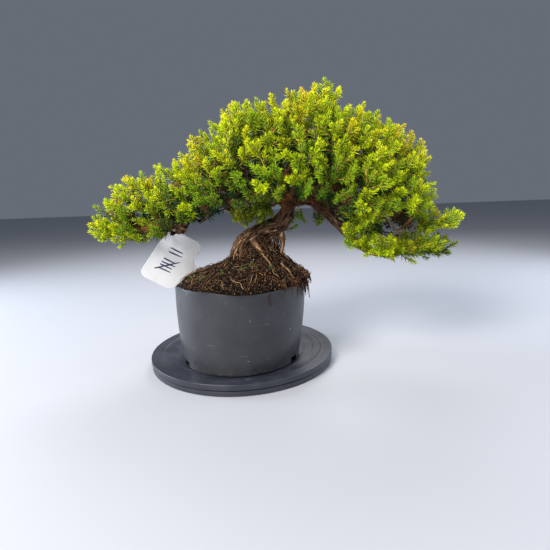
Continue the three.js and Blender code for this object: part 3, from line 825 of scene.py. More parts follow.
@dataclass(frozen=True)
class RootFibre(Finish):
    """Fine roots, tan to red-brown, drier and paler where they stand out of the soil."""

    def material(self) -> Material:
        """Dry fibre told apart by the value kept as tone.

        Returns:
            The material.
        """
        material, tree, shader = self.start()
        tone = named(tree, "tone")
        base = blend_colours(tree, spread(tree, tone, 0.0, 0.6), "#2a1b12", "#5a3d27")
        base = blend_colours(tree, spread(tree, tone, 0.75, 1.0), base, "#a08560")
        mottle = spread(tree, grain(tree, object_place(tree), 2.5), 0.3, 0.7, (0.75, 1.2))
        shade = add_node(tree, "ShaderNodeHueSaturation", {"Value": mottle, "Color": base}).outputs[0]
        tree.links.new(shade, shader.inputs["Base Color"])
        return material


@dataclass(frozen=True)
class Moss(Finish):
    """Cushion moss: tiny blades, fresh green with dry olive ones among them."""

    def material(self) -> Material:
        """Moss told apart blade by blade by the value kept as tone.

        Returns:
            The material.
        """
        material, tree, shader = self.start()
        base = blend_colours(tree, named(tree, "tone"), "#3a4a1e", "#6d7534")
        tree.links.new(base, shader.inputs["Base Color"])
        return material


@dataclass(frozen=True)
class JuniperBark(Finish):
    """Old juniper bark: grey-brown strips along the stem, dark between with underbark and painted shade."""

    def material(self) -> Material:
        """Bark whose strips follow the stem, read from the straightened place kept as strips.

        Returns:
            The material.
        """
        material, tree, shader = self.start()
        place = named(tree, "strips", "Vector")
        stretched = stretch(tree, place, (1, 1, 0.16))
        strip = grain(tree, stretched, 2.2, 4)
        broad = grain(tree, place, 14, 2)
        # Sunk strips darken to near black: partly dark underbark, partly painted shade in the cracks.
        base = blend_colours(tree, spread(tree, strip, 0.36, 0.64), "#1c120c", "#6b503b")
        base = blend_colours(tree, spread(tree, broad, 0.52, 0.7, (0.0, 0.6)), base, "#7a5a42")
        crack_and_shade = spread(tree, strip, 0.43, 0.36)
        base = blend_colours(tree, crack_and_shade, base, "#0f0906")
        pale = spread(tree, grain(tree, stretched, 1.1, 2), 0.6, 0.68)
        base = blend_colours(tree, pale, base, "#a58a70")
        # Thin twigs keep the orange-tan of young wood, and the dead spur has weathered to grey.
        orange_tan = blend_colours(tree, strip, "#6d4a26", "#b3813f")
        base = blend_colours(tree, named(tree, "young"), base, orange_tan)
        weathered = blend_colours(tree, strip, "#8d8078", "#d8cabe")
        base = blend_colours(tree, named(tree, "dead"), base, weathered)
        tree.links.new(base, shader.inputs["Base Color"])
        raise_bumps(tree, shader, strip, 1.0, 0.9)
        return material


@dataclass(frozen=True)
class JuniperLeaf(Finish):
    """Juniper needles: waxy, lime at the growing tips, green behind them and blue-green in the shade."""

    tip: str = "#d5e010"
    young: str = "#a0c20c"
    mature: str = "#568f1c"
    old: str = "#2e601c"
    shaded: str = "#193e21"
    golden: str = "#d9a220"
    dead: str = "#5a3520"

    def material(self) -> Material:
        """Needle green by age along the shoot, by how shaded the shoot is and by each shoot's own tone.

        Returns:
            The material.
        """
        material, tree, shader = self.start()
        age, shade, tone, along = (named(tree, name) for name in ("age", "shade", "tone", "along"))
        base = blend_colours(tree, spread(tree, age, 0.0, 0.3), self.tip, self.young)
        base = blend_colours(tree, spread(tree, age, 0.25, 0.75), base, self.mature)
        base = blend_colours(tree, spread(tree, age, 0.8, 1.1), base, self.old)
        base = blend_colours(tree, spread(tree, tone, 0.7, 0.97, (0.0, 0.6)), base, self.golden)
        base = blend_colours(tree, spread(tree, tone, 0.62, 0.15, (0.0, 0.85)), base, self.mature)
        base = blend_colours(tree, spread(tree, shade, 0.1, 0.8, (0.0, 0.95)), base, self.shaded)
        # Painted shade darkens each needle's foot; a painted highlight lights its point on unshaded shoots.
        painted_foot_shade = {"Value": 0.16, "Saturation": 1.15, "Color": base}
        foot = add_node(tree, "ShaderNodeHueSaturation", painted_foot_shade).outputs[0]
        base = blend_colours(tree, spread(tree, along, 0.05, 0.6), foot, base)
        tip_highlight = times(tree, spread(tree, along, 0.6, 1.0, (0.0, 0.25)), spread(tree, shade, 0.7, 0.0))
        base = blend_colours(tree, tip_highlight, base, "#eae628")
        brown = blend_colours(tree, spread(tree, tone, 0.2, 0.9), self.dead, "#b07a4a")
        base = blend_colours(tree, named(tree, "dead"), base, brown)
        tree.links.new(base, shader.inputs["Base Color"])
        return material


@dataclass(frozen=True)
class GreenTwig(Finish):
    """The slim stem inside a shoot: straw-yellow to orange where it is bare, green among the needles."""

    def material(self) -> Material:
        """Young stem told by the value kept as age, with dead ones brown.

        Returns:
            The material.
        """
        material, tree, shader = self.start()
        age = named(tree, "age")
        base = blend_colours(tree, spread(tree, age, 0.1, 0.8), "#adad3a", "#b5843c")
        base = blend_colours(tree, spread(tree, named(tree, "shade"), 0.15, 0.8), base, "#33241a")
        base = blend_colours(tree, named(tree, "dead"), base, "#6b4a34")
        tree.links.new(base, shader.inputs["Base Color"])
        return material


# The turntable.


@dataclass
class Turntable:
    """Two moulded discs with a race of balls between them."""

    sides: int = 192
    round_edge: float = 0.35
    bore: float = 6.3
    bore_depth: float = 3.8
    race: tuple[float, float] = (66.0, 72.0)
    race_depth: float = 2.1
    step: tuple[float, float] = (79.0, 88.0)
    step_depth: float = 0.4
    inner_line: float = 68.8
    rim_lines: tuple[float, ...] = (95.6, 92.5)
    plastic: MouldedPlastic = MouldedPlastic(
        "moulded_polystyrene", 0.42, colour="#262933", worn="#2d303b",
        dusty_from=-10.0, dusty_to=-20.0, specks=0.82,
    )
    steel: Steel = Steel("bearing_steel", 0.25)

    def make_base(self) -> Object:
        """Makes the lower disc with its race and bore.

        Returns:
            The mesh object.
        """
        low, high = (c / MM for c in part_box("turntable_base"))
        edge, top, r = high.x, high.z, self.round_edge
        inner, outer = self.race
        race, bore = top - self.race_depth, top - self.bore_depth
        return turned("lower_disc", [
            (0, low.z, 0), (edge - 0.9, low.z, r), (edge, low.z + 0.9, r), (edge, top, 0.9),
            (outer, top, r), (outer, race, r), (inner, race, r), (inner, top, r),
            (self.bore, top, r), (self.bore, bore, r), (0, bore, 0),
        ], self.sides)

    def make_plate(self) -> Object:
        """Makes the upper disc with the rings moulded in its face.

        Returns:
            The mesh object.
        """
        low, high = (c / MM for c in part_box("turntable_plate"))
        edge, top, r = high.x, high.z, self.round_edge
        inner, outer = self.race
        profile = [
            (0, low.z + self.bore_depth, 0), (self.bore, low.z + self.bore_depth, r), (self.bore, low.z, r),
            (inner, low.z, r), (inner, low.z + self.race_depth, r), (outer, low.z + self.race_depth, r),
            (outer, low.z, r), (edge, low.z, 0.6), (edge, top - 0.2, 0.5), (edge - 1.0, top, 0.6),
        ]
        for line in self.rim_lines:
            profile += [(line + 0.4, top, 0.15), (line, top - 0.15, 0.15), (line - 0.4, top, 0.15)]
        profile += [
            (self.step[1], top, 0.4), (self.step[1] - 0.6, top - self.step_depth, 0.4),
            (self.step[0] + 0.6, top - self.step_depth, 0.4), (self.step[0], top, 0.4),
            (self.inner_line + 0.8, top, 0.3), (self.inner_line, top - 0.25, 0.3),
            (self.inner_line - 0.8, top, 0.3), (0, top, 0),
        ]
        return turned("upper_disc", profile, self.sides)

    def build(self) -> None:
        """Makes both discs and dresses the bearing between them."""
        plastic, steel = self.plastic.material(), self.steel.material()
        for piece, body, node in (
            (self.make_base(), Body.BASE, "turntable_base"),
            (self.make_plate(), Body.TURNTABLE, "turntable_plate"),
        ):
            sharp_by_angle(piece, 50)
            dress(piece, Slot.TURNTABLE, node, finish=plastic, body=body)
        for node in ("pivot_pin", "bearing_ring"):
            coat(bpy.data.objects[node], steel)


# The pot.


@dataclass
class Pot:
    """A soft moulded pot that was cut down with a knife, so that its rim rises and falls."""

    sides: int = 200
    rows: int = 20
    centre_y: float = -24.0
    foot: float = 12.3
    foot_radius: float = 61.0
    rim_radius: float = 66.7
    rim: float = 92.5
    wall: float = 1.0
    bulge_top: float = 76.0
    # How far the wall leans to the right, for each millimetre of height.
    push: float = 0.028
    # The floor stands higher than the ring of the foot.
    floor_rise: float = 3.0
    floor_radius: float = 48.5
    step_radius: float = 51.5
    slot_bearings: tuple[float, ...] = (-30.0, -150.0, 90.0)
    slot_width: float = 12.0
    slot_height: float = 7.0
    # How far the cut rim stands over its level, at bearings from the right in degrees.
    rim_cut: tuple[tuple[float, float], ...] = (
        (-180, -2.5), (-150, 2), (-115, 2), (-85, -1), (-45, 0.4), (-20, -1.5), (10, -3.5), (60, -1),
        (120, -0.5), (180, -2.5),
    )
    plastic: MouldedPlastic = MouldedPlastic("moulded_polypropylene", 0.36)

    def lift(self, x: Array, y: Array) -> Array:
        """Tells how far the rim stands above its level, in the direction of a place from the axis.

        Args:
            x: places to the right of the pot's axis.
            y: places behind it.

        Returns:
            The rise of the cut rim there.
        """
        bearing = np.degrees(np.arctan2(y, x))
        ends, lifts = np.array(self.rim_cut, float).T
        after = np.clip(np.searchsorted(ends, bearing), 1, len(ends) - 1)
        share = smoothstep(0, 1, (bearing - ends[after - 1]) / (ends[after] - ends[after - 1]))
        return lifts[after - 1] + (lifts[after] - lifts[after - 1]) * share

    def rim_by(self, rows: Array) -> Array:
        """Gives the height of the cut rim in the direction of each place."""
        return self.rim + self.lift(rows[:, 0], rows[:, 1] - self.centre_y)

    def radius(self, height: Array) -> Array:
        """Gives the outer radius of the wall at a height."""
        below = np.clip((self.bulge_top - np.asarray(height)) / (self.bulge_top - self.foot), 0, None)
        return self.rim_radius + (self.foot_radius - self.rim_radius) * below**1.5

    def shell(self) -> Object:
        """Makes the whole wall and floor, with the cut rim and no slots yet.

        Returns:
            The mesh object.
        """
        heights = np.linspace(self.foot + 2.5, self.rim, self.rows)
        outer = [(float(self.radius(z)), z, 0) for z in heights[:-1]]
        inner = [(float(self.radius(z)) - self.wall, z, 0) for z in heights[-2::-1]]
        rim_out, rim_in = float(self.radius(self.rim)), float(self.radius(self.rim)) - self.wall
        floor = self.foot + self.floor_rise
        profile = [
            (0, floor, 0), (self.floor_radius, floor, 0.8), (self.step_radius, self.foot, 0.8),
            (self.foot_radius - 1.2, self.foot, 0.6),
            (float(self.radius(self.foot + 1)), self.foot + 1, 0.6),
            *outer, (rim_out, self.rim, 0.3), (rim_in, self.rim, 0.3), *inner,
            (self.foot_radius - 2.2, self.foot + 1.3, 0.5), (self.step_radius + 0.6, self.foot + 1.3, 0.5),
            (self.floor_radius + 0.4, floor + 1.2, 0.5), (0, floor + 1.2, 0),
        ]
        piece = turned("pot_wall", profile, self.sides)
        rows = places(piece)
        cut = smoothstep(self.rim - 9, self.rim - 1, rows[:, 2])
        turn = np.arctan2(rows[:, 1], rows[:, 0])
        ragged = roughness(np.column_stack([9 * np.cos(turn), 9 * np.sin(turn), 0 * turn]), 3, 4.0)
        rows[:, 2] += cut * (self.lift(rows[:, 0], rows[:, 1]) + 0.35 * ragged)
        rows[:, 0] += self.push * (rows[:, 2] - self.foot)
        # The thin wall isn't quite round: it gives a little between the places where it is held.
        wave = 0.25 * np.sin(3 * turn + 0.6) * smoothstep(self.foot, self.rim, rows[:, 2])
        rows[:, :2] *= 1 + (wave / self.rim_radius)[:, None]
        rows[:, 1] += self.centre_y
        place_at(piece, rows)
        return piece

    def cut_slots(self, piece: Object) -> None:
        """Cuts the drainage slots at the corner of the foot.

        Args:
            piece: the wall.
        """
        sides = [[0, 1, 3, 2], [4, 6, 7, 5], [0, 4, 5, 1], [2, 3, 7, 6], [0, 2, 6, 4], [1, 5, 7, 3]]
        skin = Skin()
        for bearing in self.slot_bearings:
            turn = Matrix.Rotation(math.radians(bearing), 3, "Z")
            box = [
                turn @ Vector((self.foot_radius + x, y, self.foot + z))
                for x in (-7, 7)
                for y in (-self.slot_width / 2, self.slot_width / 2)
                for z in (-self.slot_height, self.slot_height)
            ]
            corners = np.array(box) + np.array([0, self.centre_y, 0])
            skin.add(corners, sides)
        cutter = skin.piece("slot_cutter", smooth=False)
        turn_outward(cutter)
        cut = piece.modifiers.new("slots", "BOOLEAN")
        cut.object = cutter
        cut.solver = "EXACT"
        settle(piece)
        bpy.data.objects.remove(cutter)

    def build(self) -> None:
        """Makes and dresses the pot."""
        piece = self.shell()
        self.cut_slots(piece)
        sharp_by_angle(piece, 45)
        dress(piece, Slot.POT, "nursery_pot", finish=self.plastic.material())


# The soil.


@dataclass
class SoilMound:
    """The root ball in the pot, with crumbs, root fibres and moss on its mound."""

    pot: Pot
    voxel: float = 1.6
    crumbs: float = 0.5
    crumb_size: float = 1.0
    fibres: int = 420
    hanging: int = 130
    # Each lump has its place, its radius and its height.
    lumps: tuple[tuple[float, ...], ...] = (
        (-51, -32, 11, 4.5), (-40, -14, 12, 3.0), (8, -64, 10, 1.5), (21, -26, 12, 4.5), (32, -27, 8, 6.5),
    )
    # Fine roots fill the hollow between the mound and the trunk, whose underside runs through these places.
    web: int = 90
    trunk_y: float = -25.0
    trunk_radius: float = 8.0
    trunk_under: tuple[tuple[float, float], ...] = (
        (6, 122), (14, 129), (24, 133.5), (35, 137.5), (46, 141),
    )
    # The thick roots that lie bare on the front of the mound, seen from above.
    bare_roots: tuple = (((19, -31), (27, -45), (34, -58)), ((44, -50), (51, -58), (57, -66)))
    moss_blades: int = 30
    moss_spots: tuple[tuple[float, float], ...] = (
        (-32, -62), (-12, -66), (6, -64), (34, -60), (-44, -46), (16, -56),
    )

    def surface(self) -> Object:
        """Makes the soil's own skin, rough where it shows.

        Returns:
            The mesh object.
        """
        piece = fine_copy("soil", "soil_mound", self.voxel)
        rows, outward = places(piece), normals(piece)
        shows = smoothstep(-2.5, 1.5, rows[:, 2] - self.pot.rim_by(rows))
        coarse = roughness(rows / 7, 3)
        fine = roughness(rows / 2.2, 2, 9.0)
        rows += outward * (shows * (0.9 * coarse + 0.8 * fine + 0.1))[:, None]
        for x, y, radius, height in self.lumps:
            away = (rows[:, 0] - x) ** 2 + (rows[:, 1] - y) ** 2
            rows[:, 2] += shows * height * np.exp(-away / radius**2)
        place_at(piece, rows)
        store(piece, "shows", smoothstep(0.4, 1.0, shows))
        store(piece, "tone", np.clip(0.12 + 0.2 * roughness(rows / 1.6, 2, 5.0), 0, 0.4))
        return piece

    def crumb_tree(self, material: Material) -> Tree:
        """Builds the tree that strews crumbs over the skin.

        Args:
            material: the potting mix.

        Returns:
            The node tree.
        """
        tree, start = new_tree("strewn_crumbs", {
            "Crumbs per square": "NodeSocketFloat", "Crumb size": "NodeSocketFloat",
            "Seed": "NodeSocketInt",
        })
        shows = add_node(tree, "GeometryNodeInputNamedAttribute", {"Name": "shows"}, data_type="FLOAT")
        thick = times(tree, shows.outputs[0], start.outputs["Crumbs per square"])
        strewn = add_node(tree, "GeometryNodeDistributePointsOnFaces", {
            "Mesh": start.outputs["Geometry"], "Density": thick, "Seed": start.outputs["Seed"]})
        crumb = add_node(tree, "GeometryNodeMeshUVSphere", {"Segments": 5, "Rings": 2, "Radius": 0.5})
        sides = add_node(tree, "FunctionNodeRandomValue", {0: (0.5, 0.5, 0.4), 1: (3.0, 2.0, 1.6), "Seed": 3},
                       data_type="FLOAT_VECTOR")
        size = add_node(tree, "ShaderNodeVectorMath", {
            0: sides.outputs[0], "Scale": start.outputs["Crumb size"]}, operation="SCALE")
        turn = add_node(tree, "FunctionNodeRandomValue", {0: (0, 0, 0), 1: (6.28, 6.28, 6.28), "Seed": 5},
                        data_type="FLOAT_VECTOR")
        placed = add_node(tree, "GeometryNodeInstanceOnPoints", {
            "Points": strewn.outputs["Points"], "Instance": crumb.outputs["Mesh"],
            "Rotation": turn.outputs[0], "Scale": size.outputs["Vector"]})
        tone = add_node(tree, "FunctionNodeRandomValue", {2: 0.0, 3: 1.0, "Seed": 8}, data_type="FLOAT")
        toned = add_node(tree, "GeometryNodeStoreNamedAttribute", {
            "Geometry": placed.outputs[0], "Name": "tone", "Value": tone.outputs[1]},
            data_type="FLOAT", domain="INSTANCE")
        joined = add_node(tree, "GeometryNodeJoinGeometry")
        tree.links.new(toned.outputs[0], joined.inputs[0])
        tree.links.new(start.outputs["Geometry"], joined.inputs[0])
        solid = add_node(tree, "GeometryNodeRealizeInstances", {"Geometry": joined.outputs[0]})
        painted = add_node(tree, "GeometryNodeSetMaterial", {
            "Geometry": solid.outputs[0], "Material": material})
        add_node(tree, "NodeGroupOutput", {"Geometry": painted.outputs[0]})
        return tree

    def lay_fibres(self, skin: Skin, top: Array, plan: kdtree.KDTree, chance: np.random.Generator) -> None:
        """Lays fine roots over the mound, each arched a little.

        Args:
            skin: gets the roots.
            top: the vertices of the mound's top.
            plan: finds them from above.
            chance: the seeded random source.
        """
        for _ in range(self.fibres):
            at = top[chance.integers(len(top))].copy()
            heading = chance.uniform(0, 2 * math.pi)
            line = []
            steps = int(chance.integers(5, 14))
            rise = chance.uniform(0.2, 2.6)
            for i in range(steps):
                _, found, off = plan.find((at[0], at[1], 0))
                if off > 1.5:
                    at[:2] = top[found][:2]
                arch = rise * math.sin(math.pi * i / (steps - 1))
                line.append([at[0], at[1], top[found][2] + 0.3 + arch])
                heading += chance.normal(0, 0.45)
                at[:2] += 1.7 * np.array([math.cos(heading), math.sin(heading)])
            thick = chance.uniform(0.16, 0.42)
            skin.tube(np.array(line), np.linspace(thick, 0.5 * thick, steps), 4, tone=chance.random())

    def hang_mat(self, skin: Skin, chance: np.random.Generator) -> None:
        """Hangs a mat of roots over the rim on the right.

        Args:
            skin: gets the roots.
            chance: the seeded random source.
        """
        t = np.linspace(0, 1, 9)[:, None]
        for _ in range(self.hanging):
            bearing = math.radians(chance.normal(-8, 27))
            out = np.array([math.cos(bearing), math.sin(bearing), 0])
            start = np.array([2.0, self.pot.centre_y, self.pot.rim - 2]) + out * chance.uniform(60, 66)
            start[2] += chance.uniform(3, 12)
            drop = chance.uniform(3, 17)
            bulge = chance.uniform(3, 8)
            line = start + out * (bulge * np.sin(1.9 * t)) - np.array([0, 0, 1]) * (drop * t**1.7)
            line += chance.normal(0, 0.45, line.shape)
            thick = chance.uniform(0.3, 0.95)
            skin.tube(line, np.linspace(thick, 0.4 * thick, 9), 5, tone=0.75 * chance.random())

    def fill_hollow(self, skin: Skin, top: Array, plan: kdtree.KDTree, chance: np.random.Generator) -> None:
        """Fills the hollow under the trunk with a web of fine roots.

        Args:
            skin: gets the roots.
            top: the vertices of the mound's top.
            plan: finds them from above.
            chance: the seeded random source.
        """
        xs, heights = zip(*self.trunk_under)
        t = np.linspace(0, 1, 7)[:, None]
        for _ in range(self.web):
            start = np.array([chance.uniform(10, 45), self.trunk_y + chance.uniform(-6, 6), 0])
            round_under = math.sqrt(self.trunk_radius**2 - (start[1] - self.trunk_y) ** 2)
            start[2] = np.interp(start[0], xs, heights) + self.trunk_radius - round_under
            end = start + np.array([chance.normal(0, 5), chance.normal(-2, 4), 0])
            end[2] = top[plan.find((end[0], end[1], 0))[1]][2] - 0.5
            bow = unit(chance.normal(0, 1, 3)) * chance.uniform(0.5, 2.5)
            thick = chance.uniform(0.2, 0.6)
            line = start + (end - start) * t + bow * np.sin(math.pi * t)
            skin.tube(line, np.full(7, thick), 4, tone=0.7 * chance.random())

    def fibre_mat(self, rows: Array, chance: np.random.Generator) -> Object:
        """Makes all the roots that lie on the mound, hang from it or fill its hollow.

        Args:
            rows: the soil's vertices.
            chance: the seeded random source.

        Returns:
            The mesh object.
        """
        skin = Skin("tone")
        top = rows[rows[:, 2] > self.pot.rim_by(rows) + 0.5]
        plan = nearest_of(top * np.array([1, 1, 0]))
        self.lay_fibres(skin, top, plan, chance)
        self.hang_mat(skin, chance)
        self.fill_hollow(skin, top, plan, chance)
        for knots in self.bare_roots:
            line = smooth_line([(x, y, 0) for x, y in knots], 2.0)
            line[:, 2] = [top[plan.find(tuple(row))[1]][2] for row in line]
            line += chance.normal(0, 0.3, line.shape) + np.array([0, 0, 0.5])
            skin.tube(line, np.linspace(1.1, 0.5, len(line)), 6, tone=0.9)
        return skin.piece("root_fibres")

    def moss(self, rows: Array, chance: np.random.Generator) -> Object:
        """Sets small tufts of moss on the front of the mound.

        Args:
            rows: the soil's vertices.
            chance: the seeded random source.

        Returns:
            The mesh object.
        """
        top = rows[rows[:, 2] > self.pot.rim - 4]
        skin = Skin("tone")
        for spot in self.moss_spots:
            for _ in range(self.moss_blades):
                at = np.array(spot) + chance.normal(0, 2.0, 2)
                near = top[np.argmin(np.hypot(*(top[:, :2] - at).T))]
                tip = near + np.array([*chance.normal(0, 0.7, 2), chance.uniform(0.9, 2.0)])
                blade = np.array([near, (near + tip) / 2, tip])
                skin.tube(blade, [0.4, 0.3, 0.08], 3, tone=chance.random())
        return skin.piece("moss_tufts")

    def build(self) -> None:
        """Makes and dresses the soil and what lies on it."""
        chance = np.random.default_rng(11)
        mix = PottingMix("potting_mix", 0.95, 1.22).material()
        piece = self.surface()
        rows = places(piece)
        grow_nodes(piece, self.crumb_tree(mix), Crumbs_per_square=self.crumbs / MM**2,
                   Crumb_size=self.crumb_size * MM, Seed=2)
        dress(piece, Slot.SOIL, "soil")
        fibre = RootFibre("root_fibre", 0.85, 1.28).material()
        dress(self.fibre_mat(rows, chance), Slot.SOIL, finish=fibre)
        dress(self.moss(rows, chance), Slot.SOIL, finish=Moss("cushion_moss", 0.8).material())


# The label.


@dataclass
class PlantLabel:
    """A punched plastic label, its head clear of the pot and its stem in the soil."""

    length: float = 70.0
    width: float = 40.2
    corner: float = 8.0
    neck: float = 15.5
    fillet: float = 9.0
    stem: float = 46.0
    point: float = 16.0
    thick: float = 0.8
    slant: float = 37.0
    lean: float = 23.0
    centre: tuple[float, float, float] = (-72.2, -6.0, 114.1)
    stroke: float = 1.05

    def seat(self, points: Array) -> Array:
        """Moves points of the flat sheet to where the label stands.

        Args:
            points: rows of width, length and height over the sheet's middle.

        Returns:
            The same points in the part's frame.
        """
        lean = Matrix.Rotation(math.radians(self.lean), 3, "X")
        slant = Matrix.Rotation(math.radians(self.slant), 3, "Y")
        turn = np.array(lean @ slant @ Matrix.Rotation(math.pi / 2, 3, "X"))
        return np.asarray(points) @ turn.T + np.array(self.centre)

    def outline(self) -> Array:
        """Draws the edge of the sheet, with its rounded corners and the curve into its neck.

        Returns:
            One row for each point of the edge.
        """
        wide, half, waist = self.width / 2, self.length / 2, self.neck / 2
        tip = wide + self.stem

        def arc(x: float, y: float, radius: float, start: float, end: float) -> list[list[float]]:
            """Gives the points of an arc between two angles in degrees."""
            turn = np.radians(np.linspace(start, end, 9))
            return np.column_stack([x + radius * np.cos(turn), y + radius * np.sin(turn)]).tolist()

        edge = arc(wide - self.corner, self.corner - half, self.corner, -90, 0)
        edge += arc(wide + self.fillet, -waist - self.fillet, self.fillet, 180, 90)
        edge += [[tip - self.point, 2 - waist], [tip, -1], [tip, 1], [tip - self.point, waist - 2]]
        edge += arc(wide + self.fillet, waist + self.fillet, self.fillet, -90, -180)
        edge += arc(wide - self.corner, half - self.corner, self.corner, 0, 90)
        edge += arc(self.corner - wide, half - self.corner, self.corner, 90, 180)
        edge += arc(self.corner - wide, self.corner - half, self.corner, 180, 270)
        return np.array(edge)

    def marks(self) -> Object:
        """Draws tally marks with a pen, each a low ridge of ink on the sheet.

        Returns:
            The mesh object.
        """
        chance = np.random.default_rng(5)
        skin = Skin()
        bars = [((-7.5, y + 0.5 * (i % 2)), (7.5, y + 1.5)) for i, y in enumerate((-15, -10.5, -6, -1.5))]
        bars += [((-9.5, -18.5), (9.5, 3.5)), ((-7, 9), (7.5, 10)), ((-7.5, 14), (7, 15))]
        for start, end in bars:
            t = np.linspace(0, 1, 12)[:, None]
            line = np.array(start) + (np.array(end) - np.array(start)) * t
            line = line + 0.3 * np.cumsum(chance.normal(0, 0.35, line.shape), axis=0)
            way = unit(np.gradient(line, axis=0))
            side = np.column_stack([-way[:, 1], way[:, 0]])
            half = self.stroke * (0.75 + 0.35 * np.sin(math.pi * t) ** 0.5) * (1 - 0.35 * t**3)
            low, high = self.thick / 2 - 0.1, self.thick / 2 + 0.06
            rows = [np.column_stack([line + side * half * s, np.full(12, z)]) for s, z in
                    ((-1, low), (-0.8, high), (0.8, high), (1, low))]
            ordered = np.stack(rows, axis=1).reshape(-1, 3)
            skin.add(self.seat(ordered), bar_faces(12))
        piece = skin.piece("label_marks")
        turn_outward(piece)
        return piece

    def build(self) -> None:
        """Makes and dresses the label and the marks on it."""
        edge = self.outline()
        count = len(edge)
        half = self.thick / 2
        points = np.vstack([np.column_stack([edge, np.full(count, z)]) for z in (-half, half)])
        faces = [*ring_faces(2, count), list(range(count))[::-1], list(range(count, 2 * count))]
        piece = make_piece("label_sheet", self.seat(points), faces, smooth=False)
        bevel = piece.modifiers.new("punched_edge", "BEVEL")
        bevel.width = 0.2 * MM
        bevel.segments = 2
        bevel.limit_method = "ANGLE"
        bevel.angle_limit = math.radians(60)
        settle(piece)
        turn_outward(piece)
        dress(piece, Slot.LABEL, "plant_label", finish=LabelSheet("punched_polystyrene", 0.38).material())
        dress(self.marks(), Slot.LABEL, finish=Ink("felt_pen_ink", 0.6).material())


# The wood.


@dataclass
class Beside:
    """Where the wood's vertices lie beside the stems that they belong to, one row for each vertex.

    It has the place across and along the straightened stem, the distance from the stem's middle, how far
    the vertex belongs to the dead spur and to a bare root, and the stem's direction.
    """

    place: Array
    thick: Array
    dead: Array
    bare: Array
    along: Array


